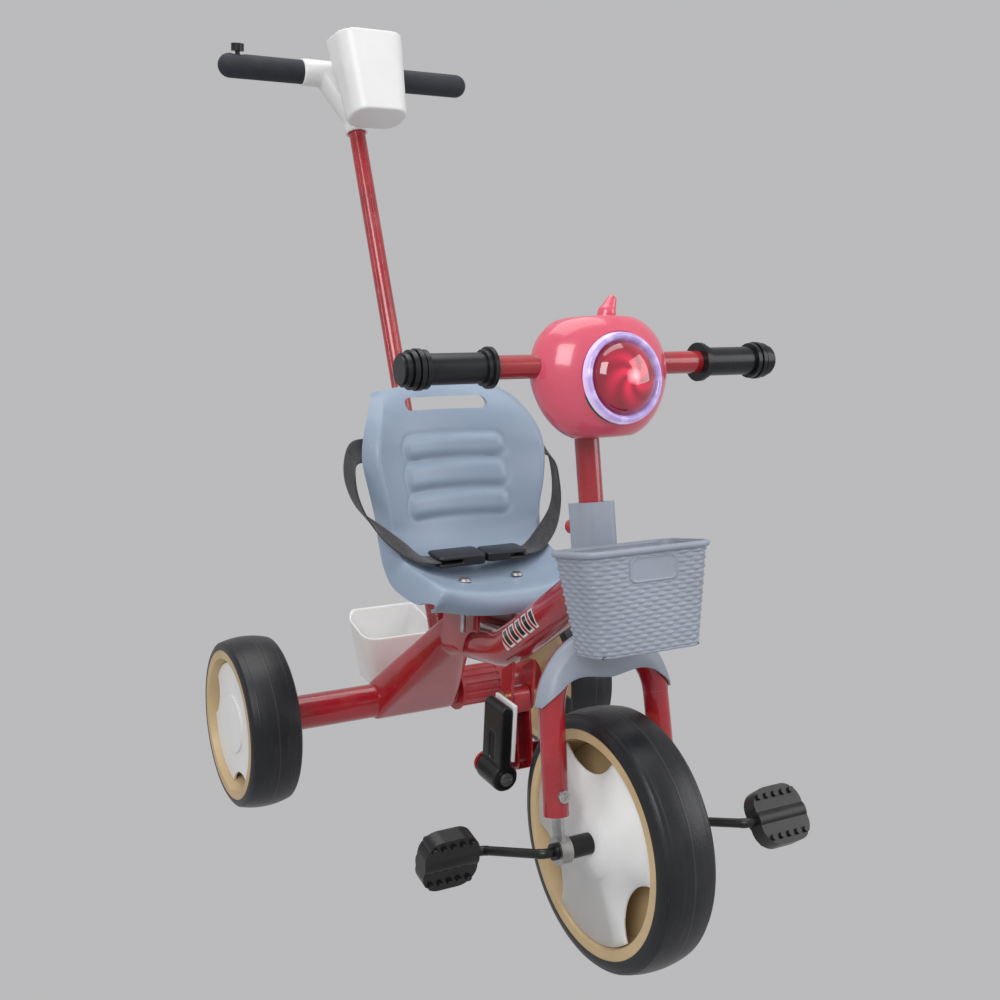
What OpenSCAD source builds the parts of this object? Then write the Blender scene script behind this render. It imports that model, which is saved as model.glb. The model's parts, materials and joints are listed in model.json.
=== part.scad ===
// A child's tricycle with a rear push handle, an fruit-shaped lamp and a front basket.
// Forward is -Y, the rider's right is -X and up is +Z. The wheels stand on z = 0.

/* [Overall] */
// Distance between the front and rear axles
wheelbase = 457; // [400:1:520]
// Distance between the middles of the two rear tyres
track = 428; // [360:1:500]
// Diameter of the front wheel over its tyre
front_wheel_d = 254; // [220:1:280]
// Diameter of a rear wheel over its tyre
rear_wheel_d = 204; // [180:1:230]
// Width of a tyre
tyre_w = 61; // [50:1:70]

/* [Steering] */
// Backward lean of the steering axis, in degrees
steer_lean = 13.6; // [8:0.1:20]
// Height of the handlebar above the front axle, along the steering axis
bar_rise = 456; // [420:1:520]
// Distance from the steering axis forward to the handlebar
bar_forward = 29; // [20:1:36]
// Length of the handlebar over its grips
bar_length = 412; // [380:1:480]
// Outer diameter of the fork tube
fork_tube_d = 25; // [20:0.5:28]
// Distance between the fork legs, middle to middle, at the crown
fork_w = 117; // [110:1:130]
// Radius of the cranks, axle to pedal
crank_r = 64; // [50:1:75]

/* [Frame] */
// Outer diameter of the main tube
main_tube_d = 44; // [36:1:50]
// Outer diameter of the rear beam
beam_d = 42; // [34:1:46]

/* [Seat] */
// Height of the seat pan above the ground, at its middle
pan_z = 310; // [290:1:330]
// Width of the seat across its wings
seat_w = 242; // [200:1:260]

/* [Push handle] */
// Backward lean of the push pole, in degrees
pole_lean = 26.3; // [18:0.1:30]
// Length of pole from its socket's mouth to the push bar
pole_reach = 636; // [540:1:720]
// Diameter of the pole
pole_d = 21; // [18:0.5:25]
// Length of the push bar over its grips
push_bar_length = 346; // [300:1:400]

/* [Basket] */
// Width of the basket at its rim
basket_w = 138; // [120:1:170]
// Height of the basket
basket_h = 97; // [80:1:110]

/* [Fits] */
// Radial running clearance of a shaft in its hole
run_fit = 0.05; // [0.02:0.01:0.1]
// Air gap between faces that move past each other
gap = 0.5; // [0.3:0.1:1]
// Radial clearance of a fixed piece in its seat
seat_fit = 0.1; // [0.05:0.05:0.3]

/* [Hidden] */
$fn = 64;

// Places of the axles
front_r = front_wheel_d / 2;
rear_r = rear_wheel_d / 2;
rear_y = 157;
front_y = rear_y - wheelbase;

// Wheels
front_flange_r = front_r - 17;
rear_flange_r = rear_r - 13;
bite_angles = [70, 190, 310];

// Axles
crank_rod_r = 4.5;
rear_axle_r = 5;
hub_r = 16;
rear_hub_in = 33.5;
rear_hub_out = 10;
nut_t = 5;
beam_end = track / 2 - rear_hub_in - gap;

// Fork and head, measured along the steering axis from the front axle
fork_r = fork_tube_d / 2;
leg_bottom = 34;
leg_splay = 5;
arch_z = 130;
crown_z = arch_z + fork_w / 2;
head_z0 = 216;
head_z1 = 274;
cup_flange = 5;
steerer_bore_r = 9;
steerer_top = 304;
cover_z0 = head_z1 + cup_flange + gap;
cover_h = 47;
head_r = 19;
head_wall = 2.5;
tube_wall = 1.8;

// Lamp, in the steering frame
lamp_z = bar_rise - 12;
lamp_y = -bar_forward;
lamp_r = 69;
lamp_flat = 0.62;
lamp_wall = 2.5;
bar_r = 11;
bar_hole_r = bar_r + 0.4;
ring_r = 43;
dome_r = 32;
lens_y = lamp_y - 40;

// Grips
grip_len = 90;
grip_r = 14;

// Basket, in the steering frame
basket_top = 286;
basket_back = -26;
basket_wall = 2.6;

// Main tube's path in the plane x = 0, as [y, z]
main_r = main_tube_d / 2;
beam_r = beam_d / 2;
main_path = [[-234, 366], [-82, 248], [58, 218], [112, 160], [150, 100]];
main_bend = 50;

// Push pole's frame starts where the pole meets the main tube
pole_foot = [0, 98.4, 240];
pole_r = pole_d / 2;
socket_top = 70;
socket_r = pole_r + 4.5;
socket_floor = -28;
push_s = socket_top + pole_reach;
head_collar_s = push_s - 82;
pole_end_s = push_s - 11;
push_bar_r = 9;
push_grip_r = 15;
push_grip_in = 64;

// Footrests
rest_x = 36;
rest_y = -128;
rest_z = 127;
rest_w = 39;
rest_len = 88;
rest_boss_r = 15;
pin_r = 4;
stay_top = [-103, 199];
stay_foot = [-116, 131];
plate_t = 3;

// Seat stations from the front skirt over the pan and up to the top edge:
// [y, z above the pan, half-width as a share, wing forward, wing up, skirt back, skirt up]
seat_rows = [
    [-96, -20, 0.76, 0, 4, 0, -2],
    [-101, -7, 0.80, 0, 6, 0, -11],
    [-93, 5, 0.83, 0, 9, 0, -21],
    [-72, 4, 0.86, 0, 14, 0, -27],
    [-38, 0, 0.885, 0, 20, 0, -30],
    [0, 0, 0.90, 2, 24, 0, -30],
    [28, 11, 0.895, 8, 24, 4, -26],
    [46, 32, 0.895, 18, 16, 12, -14],
    [56, 58, 0.91, 26, 8, 18, -4],
    [65, 90, 0.96, 32, 2, 20, 0],
    [75, 123, 1, 34, -2, 20, 2],
    [82, 150, 0.975, 32, -6, 18, 2],
    [92, 174, 0.89, 26, -8, 15, 2],
    [106, 191, 0.79, 16, -6, 10, 0],
    [117, 200, 0.72, 6, -5, 6, -4]
];
seat_wall = 4;
seat_columns = 28;
slot_half = 53;
slot_h = 14;
slot_z = pan_z + 180;
bolt_x = 33;
bolt_y = -33;
bracket_top = pan_z - 16;

// Lap strap: [x, y, z] of its middle line and the direction of its width
strap_w = 30;
strap_t = 2.4;
strap_route = [
    [[58, 109, 436], [0, 0, 1]],
    [[96, 100, 438], [0, 0.3, 1]],
    [[120, 82, 438], [0.1, 0.8, 0.8]],
    [[131, 66, 424], [0.15, 1, 0.3]],
    [[132, 54, 402], [0.15, 1, 0.2]],
    [[125, 38, 379], [0.1, 1, 0.3]],
    [[108, 18, 359], [0, 1, 0.8]],
    [[84, 4, 341], [0, 1, 0.6]],
    [[67, -1, 332], [0, 1, 0.1]],
    [[53, -2, 330.8], [0, 1, 0]]
];
buckle_len = 30;
buckle_x = 29;

// ---------- Shared shapes ----------

// Cylinder along X from x0 to x1
module rod_x(r, x0, x1) {
    translate([x0, 0, 0]) rotate([0, 90, 0]) cylinder(r = r, h = x1 - x0);
}

// Cylinder along Y from y0 to y1
module rod_y(r, y0, y1) {
    translate([0, y0, 0]) rotate([-90, 0, 0]) cylinder(r = r, h = y1 - y0);
}

function unit(v) = v / norm(v);
function side(d) = [-d[1], d[0]];
function turn(p, i) = let (a = unit(p[i] - p[i - 1]), b = unit(p[i + 1] - p[i]))
    atan2(cross(a, b), a * b);
function trim(p, i, bend) =
    i == 0 || i == len(p) - 1 ? 0 : bend * tan(abs(turn(p, i)) / 2);

// Round rod along the points p of the XY plane, with its corners bent to a radius.
// The bends are a touch thicker and each straight runs a little way into them.
bend_step = 0.3;
bend_in = 2;
module bent_rod(p, bend, r) {
    for (i = [0 : len(p) - 2]) {
        d = unit(p[i + 1] - p[i]);
        start = trim(p, i, bend) - (i > 0 ? bend_in : 0);
        end = norm(p[i + 1] - p[i]) - trim(p, i + 1, bend) + (i < len(p) - 2 ? bend_in : 0);
        translate(p[i]) rotate([0, 0, atan2(d[1], d[0])]) rod_x(r, start, end);
    }
    for (i = [1 : len(p) - 2]) {
        d = unit(p[i] - p[i - 1]);
        s = sign(turn(p, i));
        centre = p[i] - d * trim(p, i, bend) + side(d) * s * bend;
        out = -s * side(d);
        from = atan2(out[1], out[0]) + min(0, turn(p, i));
        translate(centre) rotate([0, 0, from])
            rotate_extrude(angle = abs(turn(p, i))) translate([bend, 0]) circle(r + bend_step);
    }
}

// Rectangle with rounded corners, centred, as an exact outline
module round_rect(w, h, r) {
    square([w - 2 * r, h], center = true);
    square([w, h - 2 * r], center = true);
    for (x = [-1, 1], y = [-1, 1])
        translate([x * (w / 2 - r), y * (h / 2 - r)]) circle(r);
}

// Tapered cup with rounded corners; top and bottom are [width, depth, height]
module tapered_block(bottom, top, r) {
    hull() {
        translate([0, 0, bottom[2]]) linear_extrude(0.1) round_rect(bottom[0], bottom[1], r, $fn = 32);
        translate([0, 0, top[2] - 0.1]) linear_extrude(0.1) round_rect(top[0], top[1], r, $fn = 32);
    }
}

// Closed skin between two grids of points with the same rows and columns
module grid_shell(outer, inner) {
    rows = len(outer);
    cols = len(outer[0]);
    n = rows * cols;
    points = concat([for (row = outer) each row], [for (row = inner) each row]);
    faces = concat(
        [for (i = [0 : rows - 2], j = [0 : cols - 2])
            [i * cols + j, i * cols + j + 1, (i + 1) * cols + j + 1]],
        [for (i = [0 : rows - 2], j = [0 : cols - 2])
            [i * cols + j, (i + 1) * cols + j + 1, (i + 1) * cols + j]],
        [for (i = [0 : rows - 2], j = [0 : cols - 2])
            [n + i * cols + j, n + (i + 1) * cols + j + 1, n + i * cols + j + 1]],
        [for (i = [0 : rows - 2], j = [0 : cols - 2])
            [n + i * cols + j, n + (i + 1) * cols + j, n + (i + 1) * cols + j + 1]],
        [for (j = [0 : cols - 2]) each [[j, n + j, n + j + 1], [j, n + j + 1, j + 1]]],
        [for (j = [0 : cols - 2]) let (a = (rows - 1) * cols + j)
            each [[a, a + 1, n + a + 1], [a, n + a + 1, n + a]]],
        [for (i = [0 : rows - 2]) let (a = i * cols)
            each [[a, a + cols, n + a + cols], [a, n + a + cols, n + a]]],
        [for (i = [0 : rows - 2]) let (a = i * cols + cols - 1)
            each [[a, n + a, n + a + cols], [a, n + a + cols, a + cols]]]
    );
    polyhedron(points, faces, convexity = 6);
}

// Frame of the steering axis: z runs up it from the front axle
module steer_frame() {
    translate([0, front_y, front_r]) rotate([-steer_lean, 0, 0]) children();
}

// Frame of the push pole: z runs up it from its foot
module pole_frame() {
    translate(pole_foot) rotate([-pole_lean, 0, 0]) children();
}

module red() { color([0.62, 0.07, 0.09]) children(); }
module grey() { color([0.58, 0.61, 0.67]) children(); }
module zinc() { color([0.72, 0.73, 0.74]) children(); }
module black() { color([0.05, 0.05, 0.06]) children(); }
module white() { color([0.92, 0.92, 0.93]) children(); }
module pink() { color([0.86, 0.30, 0.40]) children(); }

// ---------- Frame ----------

// Turns a drawing in the XY plane into the plane x = 0, with its x along +Y
module side_plane() {
    rotate([90, 0, 90]) children();
}

// Swan-neck tube from the head down under the seat to the rear beam, with the
// pressed yoke that flares over the beam and round the foot of the pole's socket
yoke_right = 56;
yoke_left = 50;
yoke_front = 40;

module main_tube() {
    red() difference() {
        union() {
            side_plane() bent_rod(main_path, main_bend, main_r);
            hull($fn = 32) {
                translate([0, 0, main_path[2][1] + 4]) rod_y(main_r - 1, yoke_front, main_path[2][0]);
                translate([0, rear_y, rear_r]) rod_x(beam_r + 3, -yoke_right, yoke_left);
            }
        }
        side_plane() bent_rod([main_path[0], main_path[1], [yoke_front, 222]], main_bend, main_r - tube_wall);
        steer_frame() translate([0, 0, head_z0 - 30]) cylinder(r = head_r, h = 130);
        steer_frame() translate([-60, -100, head_z0 - 40]) cube([120, 100, 160]);
        translate([0, rear_y, rear_r]) rod_x(beam_r, -100, 100);
        translate([0, rear_y, rear_r]) bin_boss(seat_fit);
        pole_frame() translate([0, 0, socket_floor - 6]) cylinder(r = socket_r, h = 200);
    }
}

// Pad on the back of the rear beam that the bin is screwed to, and its screws' places
bin_screw_r = 1.95;

module bin_boss(grow) {
    translate([0, beam_r + 5, 6]) rotate([90, 0, 0]) linear_extrude(10)
        round_rect(44 + 2 * grow, 22 + 2 * grow, 4 + grow);
}

module bin_screw_places() {
    for (x = [-14, 14]) translate([x, rear_y, rear_r + 10]) children();
}

// Cross tube that carries the rear axle
module rear_beam() {
    red() difference() {
        translate([0, rear_y, rear_r]) {
            rod_x(beam_r, -beam_end, beam_end);
            bin_boss(0);
        }
        translate([0, rear_y, rear_r]) {
            rod_x(beam_r - tube_wall, -beam_end + 8, beam_end - 8);
            rod_x(rear_axle_r, -beam_end - 1, beam_end + 1);
        }
        bin_screw_places() rod_y(bin_screw_r + 0.05, beam_r - 6, beam_r + 6);
    }
}

// Fluted collar clamped round the left half of the rear beam
module beam_coupling() {
    flutes = 16;
    red() translate([0, rear_y, rear_r]) difference() {
        union() {
            rod_x(beam_r + 5, 58, 120);
            rod_x(beam_r + 8, 58, 61);
        }
        rod_x(beam_r, 57, 121);
        for (i = [0 : flutes - 1]) rotate([i * 360 / flutes, 0, 0])
            translate([0, beam_r + 6, 0]) rod_x(2.6, 64, 114);
    }
}

module head_tube() {
    red() steer_frame() difference() {
        translate([0, 0, head_z0]) cylinder(r = head_r, h = head_z1 - head_z0);
        translate([0, 0, head_z0 - 1]) cylinder(r = head_r - head_wall, h = head_z1 - head_z0 + 2);
    }
}

// Two flanged plastic bushes pressed into the ends of the head tube
module head_bearings() {
    inset = 9;
    black() steer_frame() for (end = [[head_z0, 1], [head_z1, -1]])
        translate([0, 0, end[0]]) scale(1) rotate([end[1] > 0 ? 0 : 180, 0, 0]) difference() {
            union() {
                translate([0, 0, -cup_flange]) cylinder(r = head_r + 2, h = cup_flange);
                cylinder(r = head_r - head_wall, h = inset);
            }
            translate([0, 0, -cup_flange - 1])
                cylinder(r = fork_r + run_fit, h = inset + cup_flange + 2);
        }
}

// Lug plates under the main tube, the strut that hangs from them and its cross plate
module footrest_stay() {
    strut = unit(stay_foot - stay_top);
    run = main_path[1] - main_path[0];
    lug_r = 12;
    lug_drop = 6;
    red() {
        for (s = [-1, 1]) translate([s * 13 - plate_t / 2, 0, 0]) difference() {
            side_plane() linear_extrude(plate_t) union() {
                translate(stay_top - [0, lug_drop]) circle(lug_r);
                translate(stay_top - [lug_r - 0.3, lug_drop]) square([2 * lug_r - 0.6, 50]);
            }
            side_plane() translate([0, 0, -1]) linear_extrude(plate_t + 2)
                translate(stay_top) circle(pin_r);
            side_plane() translate(main_path[0]) rotate([0, 0, atan2(run[1], run[0])])
                rod_x(main_r + bend_step + seat_fit, 0, norm(run) + 20);
        }
        difference() {
            side_plane() translate([0, 0, -10]) linear_extrude(20) union() {
                translate(stay_top) circle(11);
                translate(stay_foot) circle(12);
                polygon([stay_top + side(strut) * 11, stay_top - side(strut) * 11,
                         stay_foot - side(strut) * 12, stay_foot + side(strut) * 12]);
            }
            side_plane() translate([0, 0, -7.5]) linear_extrude(15) union() {
                translate(stay_foot + strut * 2) circle(9);
                polygon([stay_top + strut * 16 + side(strut) * 9, stay_top + strut * 16 - side(strut) * 12,
                         stay_foot + strut * 20 - side(strut) * 12, stay_foot + side(strut) * 9]);
            }
            side_plane() translate([0, 0, -11]) linear_extrude(22) translate(stay_top) circle(pin_r);
        }
        translate([0, rest_y + rest_w / 2 + 5 + plate_t, rest_z]) rotate([90, 0, 0])
            linear_extrude(plate_t) difference() {
                round_rect(2 * rest_x + 26, 26, 12.9);
                for (s = [-1, 1]) translate([s * rest_x, 0]) circle(pin_r);
            }
    }
}

module stay_bolt() {
    color([0.75, 0.62, 0.35]) translate([0, stay_top[0], stay_top[1]]) {
        rod_x(pin_r, -17, 19);
        rod_x(7, -18.5, -14.5);
        difference() {
            rod_x(6.5, 14.5, 19);
            rod_x(pin_r, 14, 20);
        }
    }
}

// Pins the footrests turn on, each with a screw head in front
module footrest_pins() {
    zinc() for (s = [-1, 1]) translate([s * rest_x, rest_y, rest_z]) {
        rod_y(pin_r, -rest_w / 2 - 1, rest_w / 2 + 5 + plate_t + 4);
        difference() {
            rod_y(7, -rest_w / 2 - 4, -rest_w / 2 - 1);
            translate([-5, -rest_w / 2 - 5, -0.8]) cube([10, 2, 1.6]);
        }
        translate([0, rest_w / 2 + 5 + plate_t, 0]) rod_y(6.5, 0, 4);
    }
}

// Tube welded to the main tube that takes the push pole
module pole_socket() {
    red() difference() {
        pole_frame() union() {
            translate([0, 0, socket_floor - 6]) cylinder(r = socket_r, h = socket_top - socket_floor + 6);
            translate([0, 0, socket_top - 10]) cylinder(r = socket_r + 2.5, h = 10);
        }
        pole_frame() translate([0, 0, socket_floor]) cylinder(r = pole_r + run_fit, h = 200);
        translate([0, rear_y, rear_r]) rod_x(beam_r, -60, 60);
    }
}

// Folded plate on the main tube that the seat is bolted to
module seat_bracket() {
    wall_h = 70;
    red() difference() {
        union() {
            translate([0, -12, bracket_top - plate_t]) linear_extrude(plate_t) round_rect(96, 100, 12);
            for (s = [-1, 1]) translate([s * (main_r + plate_t / 2) - plate_t / 2, -52, bracket_top - wall_h])
                cube([plate_t, 84, wall_h - plate_t]);
            for (s = [-1, 1]) translate([s * bolt_x, bolt_y, bracket_top - 1])
                cylinder(r = 9, h = pan_z - seat_wall - gap - bracket_top + 1);
        }
        for (s = [-1, 1]) translate([s * bolt_x, bolt_y, bracket_top - 10]) cylinder(r = 3.1, h = 40);
        translate([-60, -53, bracket_top - wall_h - 1]) rotate([0, 90, 0]) cylinder(r = 34, h = 120);
        pole_frame() translate([0, 0, -60]) cylinder(r = socket_r + 3, h = 200);
    }
}

// ---------- Seat ----------

function seat_point(row, t) =
    let (a = min(1, abs(t) / 0.86), b = max(0, (abs(t) - 0.86) / 0.14),
         wing = pow(a, 2.2), skirt = pow(b, 1.4))
    [sign(t) * (seat_w / 2) * row[2] * (abs(t) - 0.02 * skirt),
     row[0] - row[3] * wing + row[5] * skirt,
     pan_z + row[1] + row[4] * wing + row[6] * skirt];

seat_grid = [for (row = seat_rows) [for (j = [0 : seat_columns])
    seat_point(row, 2 * j / seat_columns - 1)]];

// Direction across the shell's wall, from its middle line
function seat_normal(i) =
    let (last = len(seat_rows) - 1, a = seat_rows[max(0, i - 1)], b = seat_rows[min(last, i + 1)],
         d = unit([b[0] - a[0], b[1] - a[1]]))
    [0, -d[1], d[0]];

// The wall turns inward where the surface rolls over into the skirt
seat_under = [for (i = [0 : len(seat_grid) - 1]) [for (j = [0 : seat_columns])
    let (t = 2 * j / seat_columns - 1, roll = 90 * max(0, (abs(t) - 0.86) / 0.14))
    seat_grid[i][j] - seat_wall * (cos(roll) * seat_normal(i) + [sign(t) * sin(roll), 0, 0])]];

// One-piece moulded shell: pan, backrest with wings and a hand slot at the top
module seat_shell() {
    color([0.55, 0.62, 0.72]) difference() {
        grid_shell(seat_grid, seat_under);
        translate([0, 60, slot_z]) rotate([-90, 0, 0]) linear_extrude(90)
            round_rect(2 * slot_half, slot_h, slot_h / 2 - 0.1);
        for (s = [-1, 1]) translate([s * bolt_x, bolt_y, bracket_top - 1]) cylinder(r = 3.1, h = 60);
    }
}

// Seat bolts with their wing nuts under the bracket
module seat_bolts() {
    head_z = pan_z + 3.7;
    zinc() for (s = [-1, 1]) translate([s * bolt_x, bolt_y, 0]) {
        translate([0, 0, bracket_top - 40]) cylinder(r = 3, h = head_z - bracket_top + 40);
        translate([0, 0, head_z]) cylinder(r1 = 7, r2 = 5, h = 2.4);
        difference() {
            union() {
                translate([0, 0, bracket_top - plate_t - 9]) cylinder(r = 6, h = 9);
                for (w = [-1, 1]) translate([0, w * 9, bracket_top - plate_t - 10]) rotate([w * 20, 0, 0])
                    rod_x(6, -1.2, 1.2);
            }
            translate([0, 0, bracket_top - 41]) cylinder(r = 3, h = 60);
        }
    }
}

// Ribbon of webbing along a route on one side; side -1 is the rider's right
module strap(side) {
    c = [for (p = strap_route) [side * p[0][0], p[0][1], p[0][2]]];
    last = len(c) - 1;
    along = [for (i = [0 : last]) unit(c[min(last, i + 1)] - c[max(0, i - 1)])];
    raw = [for (p = strap_route) [side * p[1][0], p[1][1], p[1][2]]];
    wide = [for (i = [0 : last]) unit(raw[i] - along[i] * (raw[i] * along[i]))];
    thick = [for (i = [0 : last]) side * cross(along[i], wide[i])];
    upper = [for (i = [0 : last]) [for (k = [-1, 1])
        c[i] + wide[i] * k * strap_w / 2 + thick[i] * strap_t / 2]];
    lower = [for (i = [0 : last]) [for (k = [-1, 1])
        c[i] + wide[i] * k * strap_w / 2 - thick[i] * strap_t / 2]];
    if (side > 0) grid_shell(upper, lower);
    else grid_shell(lower, upper);
}

module belt_right() {
    black() strap(-1);
}

module belt_left() {
    black() strap(1);
}

// The side-release buckle lies on the pan between the two straps
module buckle_place() {
    translate([buckle_x, 0, strap_route[len(strap_route) - 1][0][2]]) children();
}

module buckle_socket() {
    black() buckle_place() difference() {
        translate([-56, 0, -6]) linear_extrude(12) round_rect(2 * buckle_len, 36, 7);
        translate([-96, -30, -2]) cube([40.2, 60, 4]);
    }
}

module buckle_tongue() {
    black() buckle_place() difference() {
        translate([2, 0, -5]) linear_extrude(10) round_rect(2 * buckle_len - 8, 32, 6);
        translate([6, -30, -2]) cube([60, 60, 4]);
    }
}

// ---------- Rear bin ----------

// Distance from the rear axle back to the bin's middle
bin_back = 66;

// Small open bin hung behind the rear beam, with its back rim raised
module rear_bin() {
    bin_y = rear_y + bin_back;
    wall = 2.4;
    white() difference() {
        translate([0, bin_y, 0]) tapered_block([80, 56, 104], [112, 80, 200], 16);
        translate([0, bin_y, 0]) tapered_block([80 - 2 * wall, 56 - 2 * wall, 104 + wall],
                                               [112 - 2 * wall, 80 - 2 * wall, 201], 16 - wall);
        translate([-80, bin_y, 172]) rotate([90, 0, 90]) linear_extrude(160)
            polygon([[-60, 0], [-10, 0], [30, 10], [60, 40], [-60, 40]]);
        bin_screw_places() rod_y(bin_screw_r + 0.05, 10, 60);
        translate([-22, rear_y, rear_r - 5]) cube([44, beam_r + 5, 22]);
    }
}

module bin_screws() {
    wall_y = bin_back - 28 + 2.4;
    zinc() bin_screw_places() {
        rod_y(bin_screw_r, beam_r - 5, wall_y + 1);
        rod_y(3.6, wall_y + 0.3, wall_y + 2.6);
    }
}

// ---------- Rear axle ----------

module rear_axle() {
    zinc() translate([0, rear_y, rear_r])
        rod_x(rear_axle_r, -track / 2 - rear_hub_out - nut_t - gap, track / 2 + rear_hub_out + nut_t + gap);
}

module rear_axle_nuts() {
    zinc() translate([0, rear_y, rear_r]) for (s = [-1, 1]) scale(1) rotate([0, s > 0 ? 0 : 180, 0])
        translate([track / 2 + rear_hub_out + gap, 0, 0]) difference() {
            rotate([0, 90, 0]) cylinder(r = 9, h = nut_t, $fn = 6);
            rod_x(rear_axle_r, -1, nut_t + 1);
        }
}

// ---------- Wheels ----------

// Half the width between the rim's flanges
flange_lip = tyre_w / 2 - 3;

// Tyre ring about the X axis, in the middle of x = 0, with room for the rim's flanges
module tyre(r, bead_r, shoulder, flange_r) {
    half = tyre_w / 2;
    crown = 90;
    rotate([0, 90, 0]) rotate_extrude($fn = 128) difference() {
        intersection() {
            union() {
                translate([bead_r, -flange_lip]) square([r - bead_r - 6, 2 * flange_lip]);
                translate([r - shoulder - 1, -half]) square([1, tyre_w]);
                translate([bead_r, -half + shoulder]) square([r - bead_r, tyre_w - 2 * shoulder]);
                for (s = [-1, 1]) translate([r - shoulder, s * (half - shoulder)]) circle(shoulder);
            }
            translate([r - crown, 0]) circle(crown);
            translate([bead_r, -half]) square([r, tyre_w]);
        }
        for (y = [-half - 1, flange_lip]) translate([bead_r - 1, y])
            square([flange_r - bead_r + 1, half + 1 - flange_lip]);
    }
}

// Spoke-less rim about the X axis: flanges, dished barrel, middle web and hub
module rim(flange_r, barrel_r, dish, bore_r, hub_from, hub_to) {
    edge = tyre_w / 2 - 0.5;
    lip = flange_lip;
    web = 3;
    rotate([0, 90, 0]) rotate_extrude($fn = 128) polygon([
        [bore_r, hub_from], [hub_r, hub_from], [hub_r, -web], [barrel_r - dish, -web],
        [barrel_r - dish, -web - 5], [barrel_r - 3, -edge], [flange_r, -edge], [flange_r, -lip],
        [barrel_r, -lip], [barrel_r, lip], [flange_r, lip], [flange_r, edge], [barrel_r - 3, edge],
        [barrel_r - dish, web + 5], [barrel_r - dish, web], [hub_r, web], [hub_r, hub_to],
        [bore_r, hub_to]]);
}

// Covers with three scalloped bites round their edge, set on the outer sides
module disc(r, from, thick, step, hole_r, faces) {
    for (s = faces) mirror([s < 0 ? 1 : 0, 0, 0]) difference() {
        union() {
            rod_x(r, from, from + thick);
            rod_x(34, from, from + thick + step);
        }
        if (hole_r > 0) rod_x(hole_r, from - 1, from + thick + step + 1);
        for (a = bite_angles) rotate([a, 0, 0]) translate([0, -r - 22, 0])
            rod_x(50 * r / 97, from - 1, from + thick + step + 1);
    }
}

module front_wheel_frame() {
    steer_frame() children();
}

front_barrel_r = front_flange_r - 7;
rear_barrel_r = rear_flange_r - 7;
disc_face = tyre_w / 2 - 5.5;

module front_tyre() {
    black() front_wheel_frame() tyre(front_r, front_barrel_r, 16, front_flange_r);
}

module front_rim() {
    color([0.78, 0.68, 0.48]) front_wheel_frame() {
        rim(front_flange_r, front_barrel_r, 10, crank_rod_r, -disc_face, disc_face);
    }
}

module front_discs() {
    white() front_wheel_frame()
        disc(front_barrel_r - 5.6, disc_face, 2.5, 2, crank_rod_r, [-1, 1]);
}

// Cranked rod through the front wheel: the two arms lie in one plane
crank_angle = 17.7 + steer_lean;
crank_out = 80;
crank_arm_run = 32;
crank_bend = 10;
pedal_x = 150;
spindle_end = pedal_x + 20;

module crank_plane() {
    front_wheel_frame() rotate([-crank_angle + 2 * steer_lean, 0, 0]) children();
}

module crank_axle() {
    arm_out = crank_out + crank_arm_run;
    black() crank_plane() bent_rod([
        [-spindle_end, crank_r], [-arm_out, crank_r], [-crank_out, 0],
        [crank_out, 0], [arm_out, -crank_r], [spindle_end, -crank_r]], crank_bend, crank_rod_r);
}

// Bushes between the wheel and the dropouts, and collars outside them
module axle_spacers() {
    color([0.03, 0.03, 0.04]) front_wheel_frame() for (s = [0, 1]) mirror([s, 0, 0]) difference() {
        union() {
            rod_x(10.5, disc_face + 4.5, dropout_in - gap);
            rod_x(8, dropout_out + gap, dropout_out + gap + 4);
        }
        rod_x(crank_rod_r, disc_face, dropout_out + 10);
    }
}

// Round-cornered pedal with studs on both faces and a blind bore for its spindle
module pedal(side) {
    half_t = 9;
    studs = [for (x = [-20, -10, 0, 10, 20], y = [-20, 20]) [x, y]];
    black() crank_plane() translate([side * pedal_x, -side * crank_r, 0])
        rotate([crank_angle - steer_lean + (side < 0 ? 100 : 48), 0, 0]) difference() {
            union() {
                translate([0, 0, -half_t]) linear_extrude(2 * half_t) round_rect(58, 57, 19);
                rod_x(11, -29, 29);
                for (p = studs) translate([p[0], p[1], -half_t - 3]) cylinder(r = 3, h = 2 * half_t + 6);
            }
            if (side < 0) rod_x(crank_rod_r + run_fit, -22, 60);
            else rod_x(crank_rod_r + run_fit, -60, 22);
            for (s = [-1, 1]) translate([side * 29, s * 29, -20]) cylinder(r = 9, h = 40);
        }
}

module pedal_right() {
    pedal(-1);
}

module pedal_left() {
    pedal(1);
}

module rear_wheel_place(side) {
    translate([side * track / 2, rear_y, rear_r]) mirror([side < 0 ? 1 : 0, 0, 0]) children();
}

module rear_tyre(side) {
    black() rear_wheel_place(side) tyre(rear_r, rear_barrel_r, 13, rear_flange_r);
}

module rear_rim(side) {
    color([0.78, 0.68, 0.48]) rear_wheel_place(side) union() {
        rim(rear_flange_r, rear_barrel_r, 14, rear_axle_r + run_fit, -rear_hub_in, rear_hub_out);
    }
}

module rear_disc(side) {
    white() rear_wheel_place(side)
        disc(rear_barrel_r - 9, rear_hub_out + nut_t + 5, 2.5, 2, 0, [1]);
}

module rear_tyre_right() { rear_tyre(-1); }
module rear_rim_right() { rear_rim(-1); }
module rear_disc_right() { rear_disc(-1); }
module rear_tyre_left() { rear_tyre(1); }
module rear_rim_left() { rear_rim(1); }
module rear_disc_left() { rear_disc(1); }

// ---------- Steering ----------

// Middle line of the fork tube in the plane y = 0 of the steering frame
leg_path = [[-fork_w / 2 - leg_splay, leg_bottom], [-fork_w / 2, crown_z],
            [fork_w / 2, crown_z], [fork_w / 2 + leg_splay, leg_bottom]];
crown_bend = fork_w / 2 - 4;
dropout_x = fork_w / 2 + 2;
dropout_in = dropout_x - 6;
dropout_out = dropout_x + 6;
bolt_z = 54;
fork_bolt_r = 3;

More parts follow.
